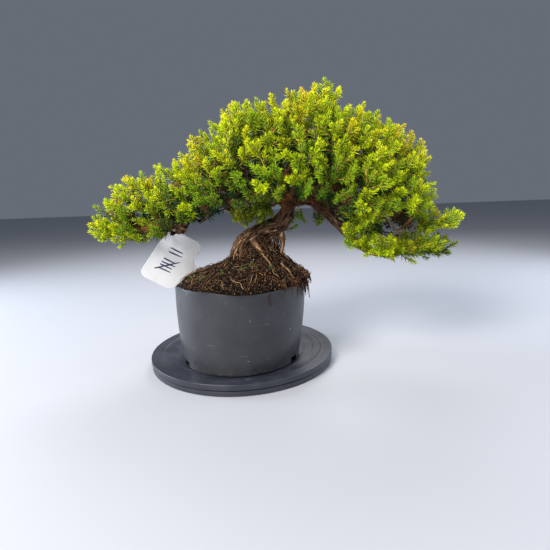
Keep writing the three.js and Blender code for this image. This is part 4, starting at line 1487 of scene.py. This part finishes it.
@dataclass
class Wood:
    """Trunk, limbs and twigs, one grown piece under strips of bark."""

    voxel: float = 0.9
    trunk: tuple = (
        (1, -23, 98), (0, -23.5, 110), (2, -24, 120), (6, -24.5, 131), (14, -25, 138), (24, -25, 142),
        (35, -25, 146), (45, -24.5, 149), (50, -24, 156), (54, -23, 164), CROTCH,
    )
    left: tuple = (
        CROTCH, (42, -22, 177), (15, -25, 180), (-12, -27, 178), (-36, -28, 171), (-58, -28, 162),
        (-78, -29, 154), (-93, -30, 150),
    )
    right: tuple = (
        CROTCH, (76, -25, 173), (92, -29, 160), (106, -33, 145), (118, -36, 130), (134, -38, 119),
        (150, -38, 115), (166, -37, 116),
    )
    spur: tuple = ((126, -23, 190), (140, -27, 172), (152, -34, 155), (161, -38, 138), (169, -40, 137))
    # The bare roots, from where they are clear of the trunk: one behind its bend, one down its front.
    roots: tuple = (
        ((47, -27, 137), (48, -28, 129), (45, -29, 119), (43, -29, 110)),
        ((25, -39, 123), (28, -42, 119), (35, -46, 111), (40, -48, 104)),
    )
    # How much stouter the trunk is than its solid.
    stout: float = 1.5
    limb_ends: tuple = (
        (2, -24, 236), (50, -60, 214), (84, -24, 242), (56, 20, 220), (136, -58, 206), (138, -16, 232),
        (170, -26, 202), (142, 18, 206),
    )
    flakes: int = 420
    flake_length: tuple[float, float] = (2.5, 8)
    flake_width: tuple[float, float] = (0.5, 1.3)
    flake_curl: tuple[float, float] = (0.05, 0.3)

    def straighten(self, rows: Array) -> Beside:
        """Finds each vertex's place beside the stem that it belongs to.

        Args:
            rows: the wood's vertices.

        Returns:
            Where they lie.
        """
        knots = [self.trunk, self.left, self.right, self.spur]
        knots += [(self.trunk[-1], end) for end in self.limb_ends]
        stems = len(knots)
        lines = [smooth_line(line, 3) for line in (*knots, *self.roots)]
        points = np.vstack(lines)
        along, across, side = (np.vstack(rows) for rows in zip(*(frames_along(line) for line in lines)))
        # Each stem's bark starts at a length of its own, so that no two look alike.
        far = np.concatenate([40 * i + far_along(line) for i, line in enumerate(lines)])
        owner = np.concatenate([np.full(len(line), i) for i, line in enumerate(lines)])
        bare = np.concatenate([
            (i >= stems) * smoothstep(0, 0.3, np.linspace(0.03, 1, len(line)))
            for i, line in enumerate(lines)
        ])
        tree = nearest_of(points)
        near = np.array([tree.find(row)[1] for row in rows])
        off = rows - points[near]
        x, y, z = ((off * way[near]).sum(1) for way in (across, side, along))
        dead = (owner[near] == knots.index(self.spur)).astype(float)
        return Beside(np.column_stack([x, y, far[near] + z]), np.hypot(x, y), dead, bare[near], along[near])

    def bark_flakes(self, rows: Array, outward: Array, stem: Beside) -> Object:
        """Lifts small strips of loose bark from the trunk and the thick limbs.

        Args:
            rows: the wood's vertices.
            outward: the outward direction at each.
            stem: where each lies beside its stem.

        Returns:
            The mesh object.
        """
        chance = np.random.default_rng(3)
        skin = Skin("young", "dead")
        clear_of_roots = (rows[:, 0] < 46) | (rows[:, 2] > 150)
        old = np.flatnonzero((stem.thick > 4) & (rows[:, 2] < 190) & clear_of_roots)
        for i in chance.choice(old, self.flakes, replace=False):
            way = unit(stem.along[i] * chance.choice([-1, 1]) + 0.25 * chance.normal(0, 1, 3))
            side = unit(np.cross(outward[i], way))
            long, wide = chance.uniform(*self.flake_length), chance.uniform(*self.flake_width)
            curl = chance.uniform(*self.flake_curl) * long
            strip = []
            for t in (0, 0.35, 0.7, 1):
                middle = rows[i] + way * long * t + outward[i] * (0.15 + curl * t**2)
                half = side * wide * (1 - 0.55 * t)
                deep = outward[i] * 0.35 * (1 - 0.6 * t)
                strip += [middle - half, middle + half]
                strip += [middle + half * 0.9 - deep, middle - half * 0.9 - deep]
            skin.add(np.array(strip), bar_faces(4), young=0.1, dead=0)
        piece = skin.piece("bark_flakes")
        turn_outward(piece)
        store(piece, "strips", self.straighten(places(piece)).place * MM, "FLOAT_VECTOR")
        return piece

    def build(self) -> None:
        """Makes and dresses the wood and its loose bark."""
        bark = JuniperBark("juniper_bark_strips", 0.9, 1.25).material()
        piece = fine_copy("wood", "juniper_wood", self.voxel)
        rows, outward = places(piece), normals(piece)
        stem = self.straighten(rows)
        # Ridges of bark are far longer than they are wide.
        ridges = np.abs(roughness(stem.place * np.array([1 / 3.2, 1 / 3.2, 1 / 18]), 3, 2.0))
        knobs = roughness(rows / 9, 2, 7.0)
        depth = 0.16 * np.clip(stem.thick, 1.2, 8)
        on_trunk = smoothstep(172, 160, rows[:, 2]) * smoothstep(66, 54, rows[:, 0])
        swollen = stem.dead * smoothstep(156, 140, rows[:, 2])
        swollen += self.stout * (1 - stem.bare) * on_trunk
        relief = depth * (0.55 - 1.1 * ridges) + 0.06 * stem.thick * knobs + swollen
        rows = rows + outward * relief[:, None]
        place_at(piece, rows)
        store(piece, "strips", stem.place * MM, "FLOAT_VECTOR")
        young = 0.8 * smoothstep(3.4, 1.6, np.minimum(stem.thick, 9) * (1 + 0.2 * knobs))
        store(piece, "young", young * np.where(stem.bare > 0, 0.2, 1))
        store(piece, "dead", stem.dead)
        dress(piece, Slot.BARK, "wood", finish=bark)
        dress(self.bark_flakes(rows, outward, stem), Slot.BARK, finish=bark)


# The foliage.


def euler_rows(along: Array, face: Array) -> Array:
    """Turns directions into rotations.

    Args:
        along: where each needle's point goes, one row each.
        face: where its flat side looks, one row each.

    Returns:
        Rotations about X, Y and Z in radians, one row each.
    """
    z = unit(along)
    y = unit(face - z * (face * z).sum(1, keepdims=True))
    x = np.cross(y, z)
    return np.column_stack([
        np.arctan2(y[:, 2], z[:, 2]), -np.arcsin(np.clip(x[:, 2], -1, 1)), np.arctan2(x[:, 1], x[:, 0])])


@dataclass
class Shoot:
    """A leafy shoot, drawn as a curve from its foot past a bend to its tip."""

    foot: Array
    bend: Array
    tip: Array
    leafy: float
    tone: float
    shade: float
    dead: float = 0.0
    sides: int = 0

    def line(self) -> Array:
        """Gives the points of its stem."""
        t = np.linspace(0, 1, 6)[:, None]
        return (1 - t) ** 2 * self.foot + 2 * t * (1 - t) * self.bend + t**2 * self.tip


@dataclass
class Spray:
    """One of the frame's bunches of shoots: its leader runs from the root to the tip."""

    node: str
    root: Array
    tip: Array

    @classmethod
    def from_node(cls, node: str, wood: kdtree.KDTree) -> Spray:
        """Reads the leader from the two points of the node that lie furthest apart.

        Args:
            node: the node's name.
            wood: the wood's vertices, to tell the root from the tip.

        Returns:
            The spray.
        """
        rows = places(bpy.data.objects[node])
        first = rows[np.argmax(((rows - rows.mean(0)) ** 2).sum(1))]
        second = rows[np.argmax(((rows - first) ** 2).sum(1))]
        ends = sorted((first, second), key=lambda end: wood.find(end)[2])
        return cls(node, rows[((rows - ends[0]) ** 2).sum(1) < 6].mean(0), ends[1])

    def nearest(self, place: Array) -> tuple[float, float]:
        """Finds the point of the leader nearest to a place.

        Args:
            place: the place.

        Returns:
            The distance, and how far along the leader the point lies, from 0 to 1.
        """
        way = self.tip - self.root
        share = min(0.95, max(0.1, float((place - self.root) @ way / (way @ way))))
        return float(np.linalg.norm(place - self.root - share * way)), share


@dataclass(frozen=True)
class Spot:
    """An upright oval in the crown where the foliage is open or dead."""

    centre: tuple[float, float, float]
    radii: tuple[float, float, float]

    def holds(self, rows: Array) -> Array:
        """Tells which places lie inside it."""
        return (((rows - np.array(self.centre)) / np.array(self.radii)) ** 2).sum(-1) < 1


@dataclass(frozen=True)
class Patch:
    """Short shoots that fill an oval of the crown: how far apart, how shaded, and 1 where they are dead."""

    spot: Spot
    apart: float
    shade: float
    dead: float = 0.0


@dataclass(frozen=True)
class Reaching:
    """A spray that reaches out of the crown.

    It has its half width and half height, how shaded it is, how much of its leader it covers and how far
    above the leader it stands.
    """

    node: str
    wide: float
    high: float
    shade: float = 0.0
    reach: float = 0.78
    lift: float = 0.0


class Spacing:
    """Places that keep a distance from each other, found through a grid of cubes."""

    def __init__(self, cube: float) -> None:
        """Starts an empty grid of cubes of this size."""
        self.cube = cube
        self.cells: dict[tuple[int, ...], list[Array]] = {}

    def take(self, place: Array, apart: float) -> bool:
        """Takes a place if it is far enough from the others.

        Args:
            place: the place.
            apart: how far it stays from every place taken so far, at most a cube's size.

        Returns:
            Whether it was taken.
        """
        cell = tuple((place // self.cube).astype(int))
        for step in np.ndindex(3, 3, 3):
            for other in self.cells.get(tuple(c + s - 1 for c, s in zip(cell, step)), ()):
                if ((other - place) ** 2).sum() < apart * apart:
                    return False
        self.cells.setdefault(cell, []).append(place)
        return True


@dataclass
class Crown:
    """All the foliage: shoots that cover an arched crown evenly and thin out inside it."""

    top: tuple = (
        (-132, 160), (-127, 172), (-118, 186), (-102, 203), (-82, 203), (-60, 212), (-43, 225),
        (-32, 237), (-20, 240), (0, 262), (27, 267), (55, 271), (85, 275), (96, 279), (105, 271),
        (116, 263), (128, 257), (154, 247), (172, 237), (184, 227), (190, 210), (195, 184), (199, 160),
    )
    low: tuple = (
        (-132, 155), (-124, 148), (-95, 143), (-75, 143), (-66, 152), (-48, 157), (-30, 167), (-8, 172),
        (20, 174), (40, 177), (52, 183), (62, 178), (75, 174), (98, 172), (112, 160), (128, 148),
        (156, 141), (178, 135), (190, 132), (199, 148),
    )
    front: tuple = (
        (-132, 10), (-120, 24), (-94, 32), (-60, 38), (-26, 50), (4, 62), (36, 72), (68, 80), (128, 80),
        (152, 70), (172, 54), (190, 34), (199, 12),
    )
    back: tuple = (
        (-132, 8), (-120, 20), (-94, 28), (-60, 32), (-26, 38), (4, 48), (36, 56), (68, 60), (128, 62),
        (152, 56), (172, 42), (190, 28), (199, 10),
    )
    middle_y: float = -24.0
    # Each layer has its size beside the crown, the distance between its shoots and how many side shoots
    # each of them carries.
    layers: tuple = ((0.97, 13.0, 4), (0.85, 12.5, 2), (0.71, 10.5, 0), (0.54, 10.0, 0), (0.34, 11.0, 0))
    # From this scale inwards some shoots have died for want of light.
    dim_scale: float = 0.8
    died_inside: float = 0.3
    tries: int = 9000
    clumps: float = 0.2
    uneven: float = 2.2
    furthest: float = 36.0
    reaching: tuple = (
        Reaching("spray_40", 12, 12, reach=0.63), Reaching("spray_41", 10, 9, reach=0.7),
        Reaching("spray_42", 14, 9, 0.6, lift=6), Reaching("spray_43", 12, 12),
        Reaching("spray_44", 14, 12, 0.35), Reaching("spray_45", 15, 10, 0.55, lift=2),
        Reaching("spray_46", 5, 4, 0.7, 0.3, 6), Reaching("spray_47", 17, 8, lift=7),
    )
    openings: tuple = (Spot((155, -84, 150), (22, 46, 17)), Spot((55, -60, 167), (7, 50, 7)))
    patches: tuple = (
        Patch(Spot((170, -40, 158), (11, 12, 8)), 6.2, 0.6, 1.0),
        Patch(Spot((97, -37, 176), (26, 18, 11)), 6.2, 0.6, 1.0),
        Patch(Spot((150, -42, 119), (18, 14, 6)), 6.2, 0.6, 1.0),
        Patch(Spot((53, -38, 172), (8, 6, 7)), 5.6, 0.3, 1.0),
        Patch(Spot((148, -10, 150), (28, 14, 24)), 7.0, 0.9),
        Patch(Spot((42, -20, 188), (22, 14, 9)), 7.5, 0.8),
        Patch(Spot((90, -10, 190), (30, 14, 12)), 7.5, 0.9),
        Patch(Spot((118, -60, 131), (15, 12, 8)), 8.0, 0.0),
        Patch(Spot((38, -30, 171), (12, 10, 6)), 7.0, 0.6),
        Patch(Spot((64, -26, 153), (10, 6, 6)), 6.0, 0.35),
        Patch(Spot((22, -30, 161), (15, 8, 6)), 6.0, 0.6),
    )
    needle_width: float = 1.35
    needle_thick: float = 0.6
    needle: float = 6.2
    first_whorl: float = 0.9
    whorl_growth: float = 1.25
    leafy: float = 27.0
    chance: np.random.Generator = field(default_factory=lambda: np.random.default_rng(29))

    def edges_at(self, x: Array) -> tuple[Array, ...]:
        """Gives the crown's top, its lower edge, and its reach to the front and back."""
        return tuple(np.interp(x, *zip(*table)) for table in (self.top, self.low, self.front, self.back))

    def depth(self, rows: Array) -> Array:
        """Tells how deep places lie in the crown.

        Args:
            rows: the places.

        Returns:
            0 at the crown's surface, 1 in its core and less than 0 outside.
        """
        x, y, z = rows.T
        top, low, front, back = self.edges_at(x)
        off = y - self.middle_y
        rise = (z - low) / np.maximum(top - low, 1)
        return 1 - np.sqrt((off / np.where(off < 0, front, back)) ** 2 + np.clip(rise, 0, None) ** 2.5)

    def outward(self, rows: Array) -> Array:
        """Gives the direction out of the crown, turned up towards the light.

        Args:
            rows: the places.

        Returns:
            The direction at each.
        """
        steps = np.eye(3) * 2
        fall = np.column_stack([self.depth(rows - step) - self.depth(rows + step) for step in steps])
        return unit(unit(fall) + np.array([0, 0, 0.75]) + 0.35 * unit(rows - np.array(CROTCH)))

    def arch_places(self, scale: float) -> tuple[Array, Array]:
        """Spreads many places over the crown's arches, drawn in to a scale, in swellings and hollows.

        Args:
            scale: 1 for the crown's surface, less for a layer inside it.

        Returns:
            One row for each place, and the size of the crown there beside its arches.
        """
        share, turn = evenly(np.arange(self.tries))
        left, right = self.top[0][0], self.top[-1][0]
        x = left + (right - left) * share
        slope = math.pi * turn
        top, low, front, back = self.edges_at(x)
        swell = 1 + self.clumps * roughness(np.column_stack([x / 24, 2.6 * slope, 0 * x]), 2, 3.0)
        size = scale * np.minimum(swell, 1.03)
        reach = np.where(slope < math.pi / 2, front, back) * size
        height = low + (top - low) * size * np.sin(slope) ** 0.8
        return np.column_stack([x, self.middle_y - reach * np.cos(slope), height]), size

    def shoot_to(
        self, tip: Array, way: Array, sprays: list[Spray], wood: kdtree.KDTree, **looks
    ) -> tuple[str, Shoot] | None:
        """Grows a shoot to a tip from whatever leader or limb is nearest.

        Args:
            tip: where the shoot ends.
            way: its direction there.
            sprays: the sprays whose leaders may carry it.
            wood: the wood's vertices.
            **looks: the shoot's other values.

        Returns:
            The spray's node and the shoot, or None where nothing near enough carries it.
        """
        back = tip - 10 * way
        (away, share), spray = min(((s.nearest(back), s) for s in sprays), key=lambda found: found[0][0])
        foot = spray.root + (spray.tip - spray.root) * max(0.04, share - 0.16)
        limb, _, off = wood.find(back)
        if off < away:
            foot = np.array(limb)
        span = float(np.linalg.norm(tip - foot))
        if not 7 < span < self.furthest:
            return None
        top, low, _, _ = self.edges_at(tip[0])
        tone = 0.6 * self.chance.random() + 0.4 * min(1.0, max(0.0, (tip[2] - low) / (top - low)))
        return spray.node, Shoot(foot, tip - way * 0.55 * span, tip, tone=tone, **looks)

    def gather(self, sprays: list[Spray], wood: kdtree.KDTree) -> dict[str, list[Shoot]]:
        """Chooses the shoots of the crown, from its surface inwards.

        Args:
            sprays: the crown's sprays.
            wood: the wood's vertices.

        Returns:
            The shoots of each spray, by its node.
        """
        chosen: dict[str, list[Shoot]] = {spray.node: [] for spray in sprays}
        spacing = Spacing(14.0)
        for spray in sprays:
            spacing.take(spray.tip, 0)
        self.gather_loose(sprays, spacing, chosen)
        for patch in self.patches:
            self.fill_patch(patch, sprays, wood, spacing, chosen)
        for scale, apart, sides in self.layers:
            rows, sizes = self.arch_places(scale)
            ways = self.outward(rows)
            rows += ways * self.chance.normal(0, self.uneven, (len(rows), 1))
            _, low, _, _ = self.edges_at(rows[:, 0])
            under = 1 - smoothstep(0.0, 0.4, (rows[:, 2] - low) / 70)
            shut = np.any([spot.holds(rows) for spot in self.openings], axis=0)
            shades = np.clip(3.2 * (0.97 - sizes) + 0.3 * under, 0, 1)
            for row, way, shade in zip(rows[~shut], ways[~shut], shades[~shut].tolist()):
                if not spacing.take(row, apart):
                    continue
                turned_way = unit(way + self.chance.normal(0, 0.16, 3))
                leafy = self.leafy * self.chance.uniform(0.8, 1.2)
                dead = float(scale < self.dim_scale and self.chance.random() < self.died_inside)
                looks = {"leafy": leafy, "shade": shade, "dead": dead, "sides": sides}
                grown = self.shoot_to(row, turned_way, sprays, wood, **looks)
                if grown:
                    chosen[grown[0]].append(grown[1])
        return chosen

    def gather_loose(self, sprays: list[Spray], spacing: Spacing, chosen: dict[str, list[Shoot]]) -> None:
        """Chooses the shoots of the sprays that reach out of the crown.

        Args:
            sprays: the crown's sprays.
            spacing: the tips taken so far.
            chosen: gets the shoots.
        """
        kinds = {kind.node: kind for kind in self.reaching}
        for spray in sprays:
            if spray.node not in kinds:
                continue
            kind = kinds[spray.node]
            reach = spray.tip - spray.root
            _, across, side = (rows[0] for rows in frames_along(np.array([spray.root, spray.tip])))
            for i in range(220):
                share, turn = evenly(i)
                share = 0.12 + kind.reach * share
                turn = 2 * math.pi * turn
                out = across * math.cos(turn) + side * math.sin(turn)
                narrowing = math.sqrt(max(0.0, 1 - max(0.0, (share - 0.45) / 0.62) ** 2))
                bulge = narrowing * (0.55 + 0.45 * (i % 2))
                off = out * np.array([kind.wide, kind.wide, kind.high]) * bulge
                away = float(np.linalg.norm(off))
                tip = spray.root + reach * share + off + np.array([0, 0, kind.lift])
                if away < 3.5 or not spacing.take(tip, 8.2):
                    continue
                foot = spray.root + reach * max(0.03, share - 0.9 * away / np.linalg.norm(reach) - 0.08)
                way = unit(0.75 * unit(reach) + 0.6 * out + np.array([0, 0, 0.35]))
                bend = tip - way * 0.5 * np.linalg.norm(tip - foot)
                leafy = self.leafy * self.chance.uniform(0.8, 1.1)
                tone = self.chance.uniform(0.35, 0.85)
                chosen[spray.node].append(Shoot(foot, bend, tip, leafy, tone, kind.shade, sides=1))

    def fill_patch(
        self, patch: Patch, sprays: list[Spray], wood: kdtree.KDTree, spacing: Spacing,
        chosen: dict[str, list[Shoot]],
    ) -> None:
        """Fills a patch of the crown with short shoots.

        Args:
            patch: the patch.
            sprays: the crown's sprays.
            wood: the wood's vertices.
            spacing: the tips taken so far.
            chosen: gets the shoots.
        """
        for _ in range(160):
            ball = unit(self.chance.normal(0, 1, 3)) * self.chance.random() ** (1 / 3)
            tip = np.array(patch.spot.centre) + np.array(patch.spot.radii) * ball
            way = unit(self.chance.normal(0, 0.8, 3) + np.array([0, -0.5, 0.1]))
            if not spacing.take(tip, patch.apart):
                continue
            grown = self.shoot_to(tip, way, sprays, wood, leafy=15.0, shade=patch.shade, dead=patch.dead)
            if grown:
                chosen[grown[0]].append(grown[1])

    def leaf_shoot(self, shoot: Shoot, skin: Skin, leaves: list[Array]) -> None:
        """Adds one shoot's stem to a skin and its needles to a list.

        Args:
            shoot: the shoot.
            skin: the stems of its spray.
            leaves: rows of place and LEAF_VALUES, one for each needle.
        """
        chance = self.chance
        line = shoot.line()
        far = far_along(line)
        leafy = min(shoot.leafy, 0.92 * far[-1])
        radii = np.interp(far, [0, far[-1] * 0.6, far[-1]], [0.8, 0.55, 0.3])
        age = np.clip((far[-1] - far) / self.leafy, 0, 1.2)
        skin.tube(line, radii, 3, leaf=0, age=age, tone=shoot.tone, shade=shoot.shade, dead=shoot.dead,
                  length=0, turn_x=0, turn_y=0, turn_z=0)
        dim = max(0.0, shoot.shade - 0.3)
        # The needles stand further apart on shaded shoots, and furthest on dead ones.
        apart = 1.7 if shoot.dead else 1 + 0.7 * dim
        down = self.first_whorl * np.arange(40) ** self.whorl_growth * apart
        down = down[down < leafy]
        tables = [np.column_stack([np.interp(far[-1] - down, far, rows[:, k]) for k in range(3)])
                  for rows in (line, *frames_along(line))]
        middle, along, across, side = tables[0], *(unit(table) for table in tables[1:])
        each = np.repeat(np.arange(len(down)), 3)
        spin = each * math.pi / 3 + np.tile(np.arange(3) * 2 * math.pi / 3, len(down))
        spin = spin + chance.normal(0, 0.2, len(each))
        out = across[each] * np.cos(spin)[:, None] + side[each] * np.sin(spin)[:, None]
        young = np.clip(down[each] / 5.5, 0, 1)
        older = np.clip((down[each] - 5) / 12, 0, 1)
        lean = np.radians(20 + 24 * young**0.6 + 12 * older + chance.normal(0, 6, len(each)))
        way = along[each] * np.cos(lean)[:, None] + out * np.sin(lean)[:, None]
        count = len(each)
        length = self.needle * (0.55 + 0.45 * young)
        length = length * chance.uniform(0.85, 1.1, count) * (1 + 0.35 * dim)
        tone = shoot.tone + chance.normal(0, 0.05, count)
        leaves.append(np.column_stack([
            middle[each] + out * 0.3, euler_rows(way, along[each] - way * 0.3),
            length, down[each] / self.leafy, tone, np.full(count, shoot.shade), np.full(count, shoot.dead),
        ]))
        turn = chance.uniform(0, 2 * math.pi)
        for k in range(shoot.sides):
            at = min(len(down) - 1, 3 + round((k + 0.5 * chance.random()) * (len(down) - 5) / shoot.sides))
            turn += math.pi + chance.normal(0, 0.5)
            aside = across[at] * math.cos(turn) + side[at] * math.sin(turn)
            reach = chance.uniform(7.0, 10.5)
            bend = middle[at] + unit(along[at] + 1.1 * aside) * reach * 0.5
            tip = bend + unit(along[at] + 0.3 * aside + np.array([0, 0, 0.25])) * reach * 0.5
            branch = Shoot(middle[at], bend, tip, 0.75 * reach, shoot.tone, shoot.shade)
            self.leaf_shoot(branch, skin, leaves)

    def needle_tree(self) -> Tree:
        """Builds the tree that sets a needle on each loose vertex and keeps the stems.

        Returns:
            The node tree.
        """
        tree, start = new_tree("juniper_needles", {
            "Needle width": "NodeSocketFloat", "Needle thickness": "NodeSocketFloat",
            "Needle finish": "NodeSocketMaterial", "Stem finish": "NodeSocketMaterial",
        })

        def read(name: str, kind: str = "FLOAT") -> Socket:
            """Reads a value kept on the vertices."""
            node = add_node(tree, "GeometryNodeInputNamedAttribute", {"Name": name}, data_type=kind)
            return node.outputs[0]

        def sums(operation: str, a, b) -> Socket:
            """Works out one sum."""
            return add_node(tree, "ShaderNodeMath", {0: a, 1: b}, operation=operation).outputs[0]

        parts = add_node(tree, "GeometryNodeSeparateGeometry", {
            "Geometry": start.outputs["Geometry"], "Selection": read("leaf")}, domain="POINT")
        ball = add_node(tree, "GeometryNodeMeshUVSphere", {"Segments": 3, "Rings": 2, "Radius": 1.0})
        position = add_node(tree, "GeometryNodeInputPosition").outputs[0]
        place = add_node(tree, "ShaderNodeSeparateXYZ", {0: position})
        share = sums("MULTIPLY", sums("ADD", place.outputs["Z"], 1.0), 0.5)
        shaped = add_node(tree, "ShaderNodeCombineXYZ", {
            "X": times(tree, place.outputs["X"], times(tree, start.outputs["Needle width"], 0.5)),
            "Y": times(tree, place.outputs["Y"], times(tree, start.outputs["Needle thickness"], 0.5)),
            "Z": sums("POWER", share, 1.6)})
        marked = add_node(tree, "GeometryNodeStoreNamedAttribute", {
            "Geometry": ball.outputs["Mesh"], "Name": "along", "Value": share,
        }, data_type="FLOAT", domain="POINT")
        needle = add_node(tree, "GeometryNodeSetPosition", {
            "Geometry": marked.outputs[0], "Position": shaped.outputs[0]})
        turn = add_node(tree, "ShaderNodeCombineXYZ", {
            "X": read("turn_x"), "Y": read("turn_y"), "Z": read("turn_z")})
        scale = add_node(tree, "ShaderNodeCombineXYZ", {"X": 1.0, "Y": 1.0, "Z": read("length")})
        placed = add_node(tree, "GeometryNodeInstanceOnPoints", {
            "Points": parts.outputs["Selection"], "Instance": needle.outputs[0],
            "Rotation": turn.outputs[0], "Scale": scale.outputs[0]})
        joined = add_node(tree, "GeometryNodeJoinGeometry")
        tree.links.new(placed.outputs[0], joined.inputs[0])
        tree.links.new(parts.outputs["Inverted"], joined.inputs[0])
        solid = add_node(tree, "GeometryNodeRealizeInstances", {"Geometry": joined.outputs[0]})
        stems = add_node(tree, "GeometryNodeSetMaterial", {
            "Geometry": solid.outputs[0], "Material": start.outputs["Stem finish"]})
        green = add_node(tree, "GeometryNodeSetMaterial", {
            "Geometry": stems.outputs[0], "Selection": read("leaf"),
            "Material": start.outputs["Needle finish"]})
        add_node(tree, "NodeGroupOutput", {"Geometry": green.outputs[0]})
        return tree

    def leaf_out(self, spray: Spray, shoots: list[Shoot]) -> Object:
        """Makes one spray's stems and the loose vertices that its needles stand on.

        Args:
            spray: the spray.
            shoots: its side shoots.

        Returns:
            The object, before its needles are set.
        """
        skin = Skin("leaf", *LEAF_VALUES)
        leaves: list[Array] = []
        shade = 0.5 * float(np.mean([shoot.shade for shoot in shoots])) if shoots else 0.0
        reach = {kind.node: kind.reach + 0.06 for kind in self.reaching}.get(spray.node, 0.9)
        end = spray.root + reach * (spray.tip - spray.root)
        leader = Shoot(spray.root, (spray.root + end) / 2, end, 26.0, 0.5, shade)
        for shoot in (leader, *shoots):
            self.leaf_shoot(shoot, skin, leaves)
        rows = np.vstack(leaves)
        values = dict(zip(LEAF_VALUES, rows[:, 3:].T))
        values["tone"] = np.clip(values["tone"], 0, 1)
        values["length"] = values["length"] * MM
        skin.add(rows[:, :3], [], leaf=1, **values)
        return skin.piece(spray.node + "_foliage")

    def build(self) -> None:
        """Makes and dresses every spray."""
        wood = nearest_of(places(bpy.data.objects["wood"]))
        nodes = sorted(o.name for o in bpy.data.objects if o.name.startswith("spray_"))
        sprays = [Spray.from_node(node, wood) for node in nodes]
        shoots = self.gather(sprays, wood)
        LOG.info("%d side shoots on %d sprays", sum(map(len, shoots.values())), len(sprays))
        tree = self.needle_tree()
        leaf = JuniperLeaf("juniper_leaf", 0.55, 1.22).material()
        twig = GreenTwig("juniper_green_twig", 0.7, 1.3).material()
        for spray in sprays:
            piece = self.leaf_out(spray, shoots[spray.node])
            grow_nodes(piece, tree, Needle_width=self.needle_width * MM,
                       Needle_thickness=self.needle_thick * MM, Needle_finish=leaf, Stem_finish=twig)
            dress(piece, Slot.NEEDLES, spray.node)


# The studio.


@dataclass
class Studio:
    """Pale floor, soft lights and the camera at the photograph's viewing angle."""

    eye: tuple[float, float, float] = (24.431, -442.542, 175.856)
    yaw: float = 1.922
    pitch: float = 10.712
    roll: float = -2.022
    lens: float = 26.7
    floor: str = "#adb0b8"
    sky: str = "#aab4c4"
    sky_strength: float = 0.33

    def camera(self) -> None:
        """Sets the camera up where the photograph was taken from."""
        yaw, pitch, roll = (math.radians(a) for a in (self.yaw, self.pitch, self.roll))
        ahead = math.cos(pitch)
        forward = Vector((math.sin(yaw) * ahead, math.cos(yaw) * ahead, -math.sin(pitch)))
        level = Vector((math.cos(yaw), -math.sin(yaw), 0))
        upright = level.cross(forward)
        right = level * math.cos(roll) + upright * math.sin(roll)
        up = upright * math.cos(roll) - level * math.sin(roll)
        data = bpy.data.cameras.new("camera")
        data.lens = self.lens
        data.sensor_width = 36
        data.clip_start = 0.02
        camera = bpy.data.objects.new("camera", data)
        turn = Matrix((right, up, -forward)).transposed().to_4x4()
        camera.matrix_world = Matrix.Translation(Vector(self.eye) * MM) @ turn
        bpy.context.scene.collection.objects.link(camera)
        bpy.context.scene.camera = camera

    def light(self, name: str, place: tuple, size: float, power: float, colour: str) -> None:
        """Hangs a soft square lamp that looks at the crown.

        Args:
            name: the lamp's name.
            place: where it hangs.
            size: the length of its side.
            power: its power in watts.
            colour: its colour.
        """
        data = bpy.data.lights.new(name, "AREA")
        data.energy = power
        data.size = size * MM
        data.color = linear(colour)[:3]
        lamp = bpy.data.objects.new(name, data)
        lamp.location = Vector(place) * MM
        aim = Vector((30, -20, 130)) - Vector(place)
        lamp.rotation_euler = aim.to_track_quat("-Z", "Y").to_euler()
        lamp.visible_camera = False
        bpy.context.scene.collection.objects.link(lamp)

    def build(self) -> None:
        """Sets up the camera, the lights, the sky and the floor."""
        self.camera()
        self.light("key", (-620, -850, 830), 450, 28.5, "#fffaf2")
        self.light("fill", (900, -400, 500), 700, 3, "#eef3ff")
        self.light("back", (200, 700, 900), 700, 8, "#ffffff")
        self.light("left_edge", (-900, 150, 330), 380, 9, "#dfe8f5")
        self.light("right_edge", (950, 200, 330), 380, 4.5, "#dfe8f5")
        world = bpy.data.worlds.new("studio")
        world.use_nodes = True
        sky = world.node_tree.nodes["Background"]
        sky.inputs["Color"].default_value = linear(self.sky)
        sky.inputs["Strength"].default_value = self.sky_strength
        bpy.context.scene.world = world
        far, drop = 6000, -0.2
        corners = np.array([[-far, -far, drop], [far, -far, drop], [far, far, drop], [-far, far, drop]])
        floor = make_piece("floor", corners, [[0, 1, 2, 3]], smooth=False)
        material, _, shader = Finish("painted_board", 0.6).start()
        shader.inputs["Base Color"].default_value = linear(self.floor)
        coat(floor, material)
        bpy.context.scene.view_settings.view_transform = "Standard"


def main() -> None:
    """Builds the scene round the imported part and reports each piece."""
    logging.basicConfig(level=logging.INFO, format="%(message)s")
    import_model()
    Studio().build()
    pot = Pot()
    Turntable().build()
    pot.build()
    SoilMound(pot).build()
    PlantLabel().build()
    Wood().build()
    Crown().build()


if __name__ == "__main__":
    main()
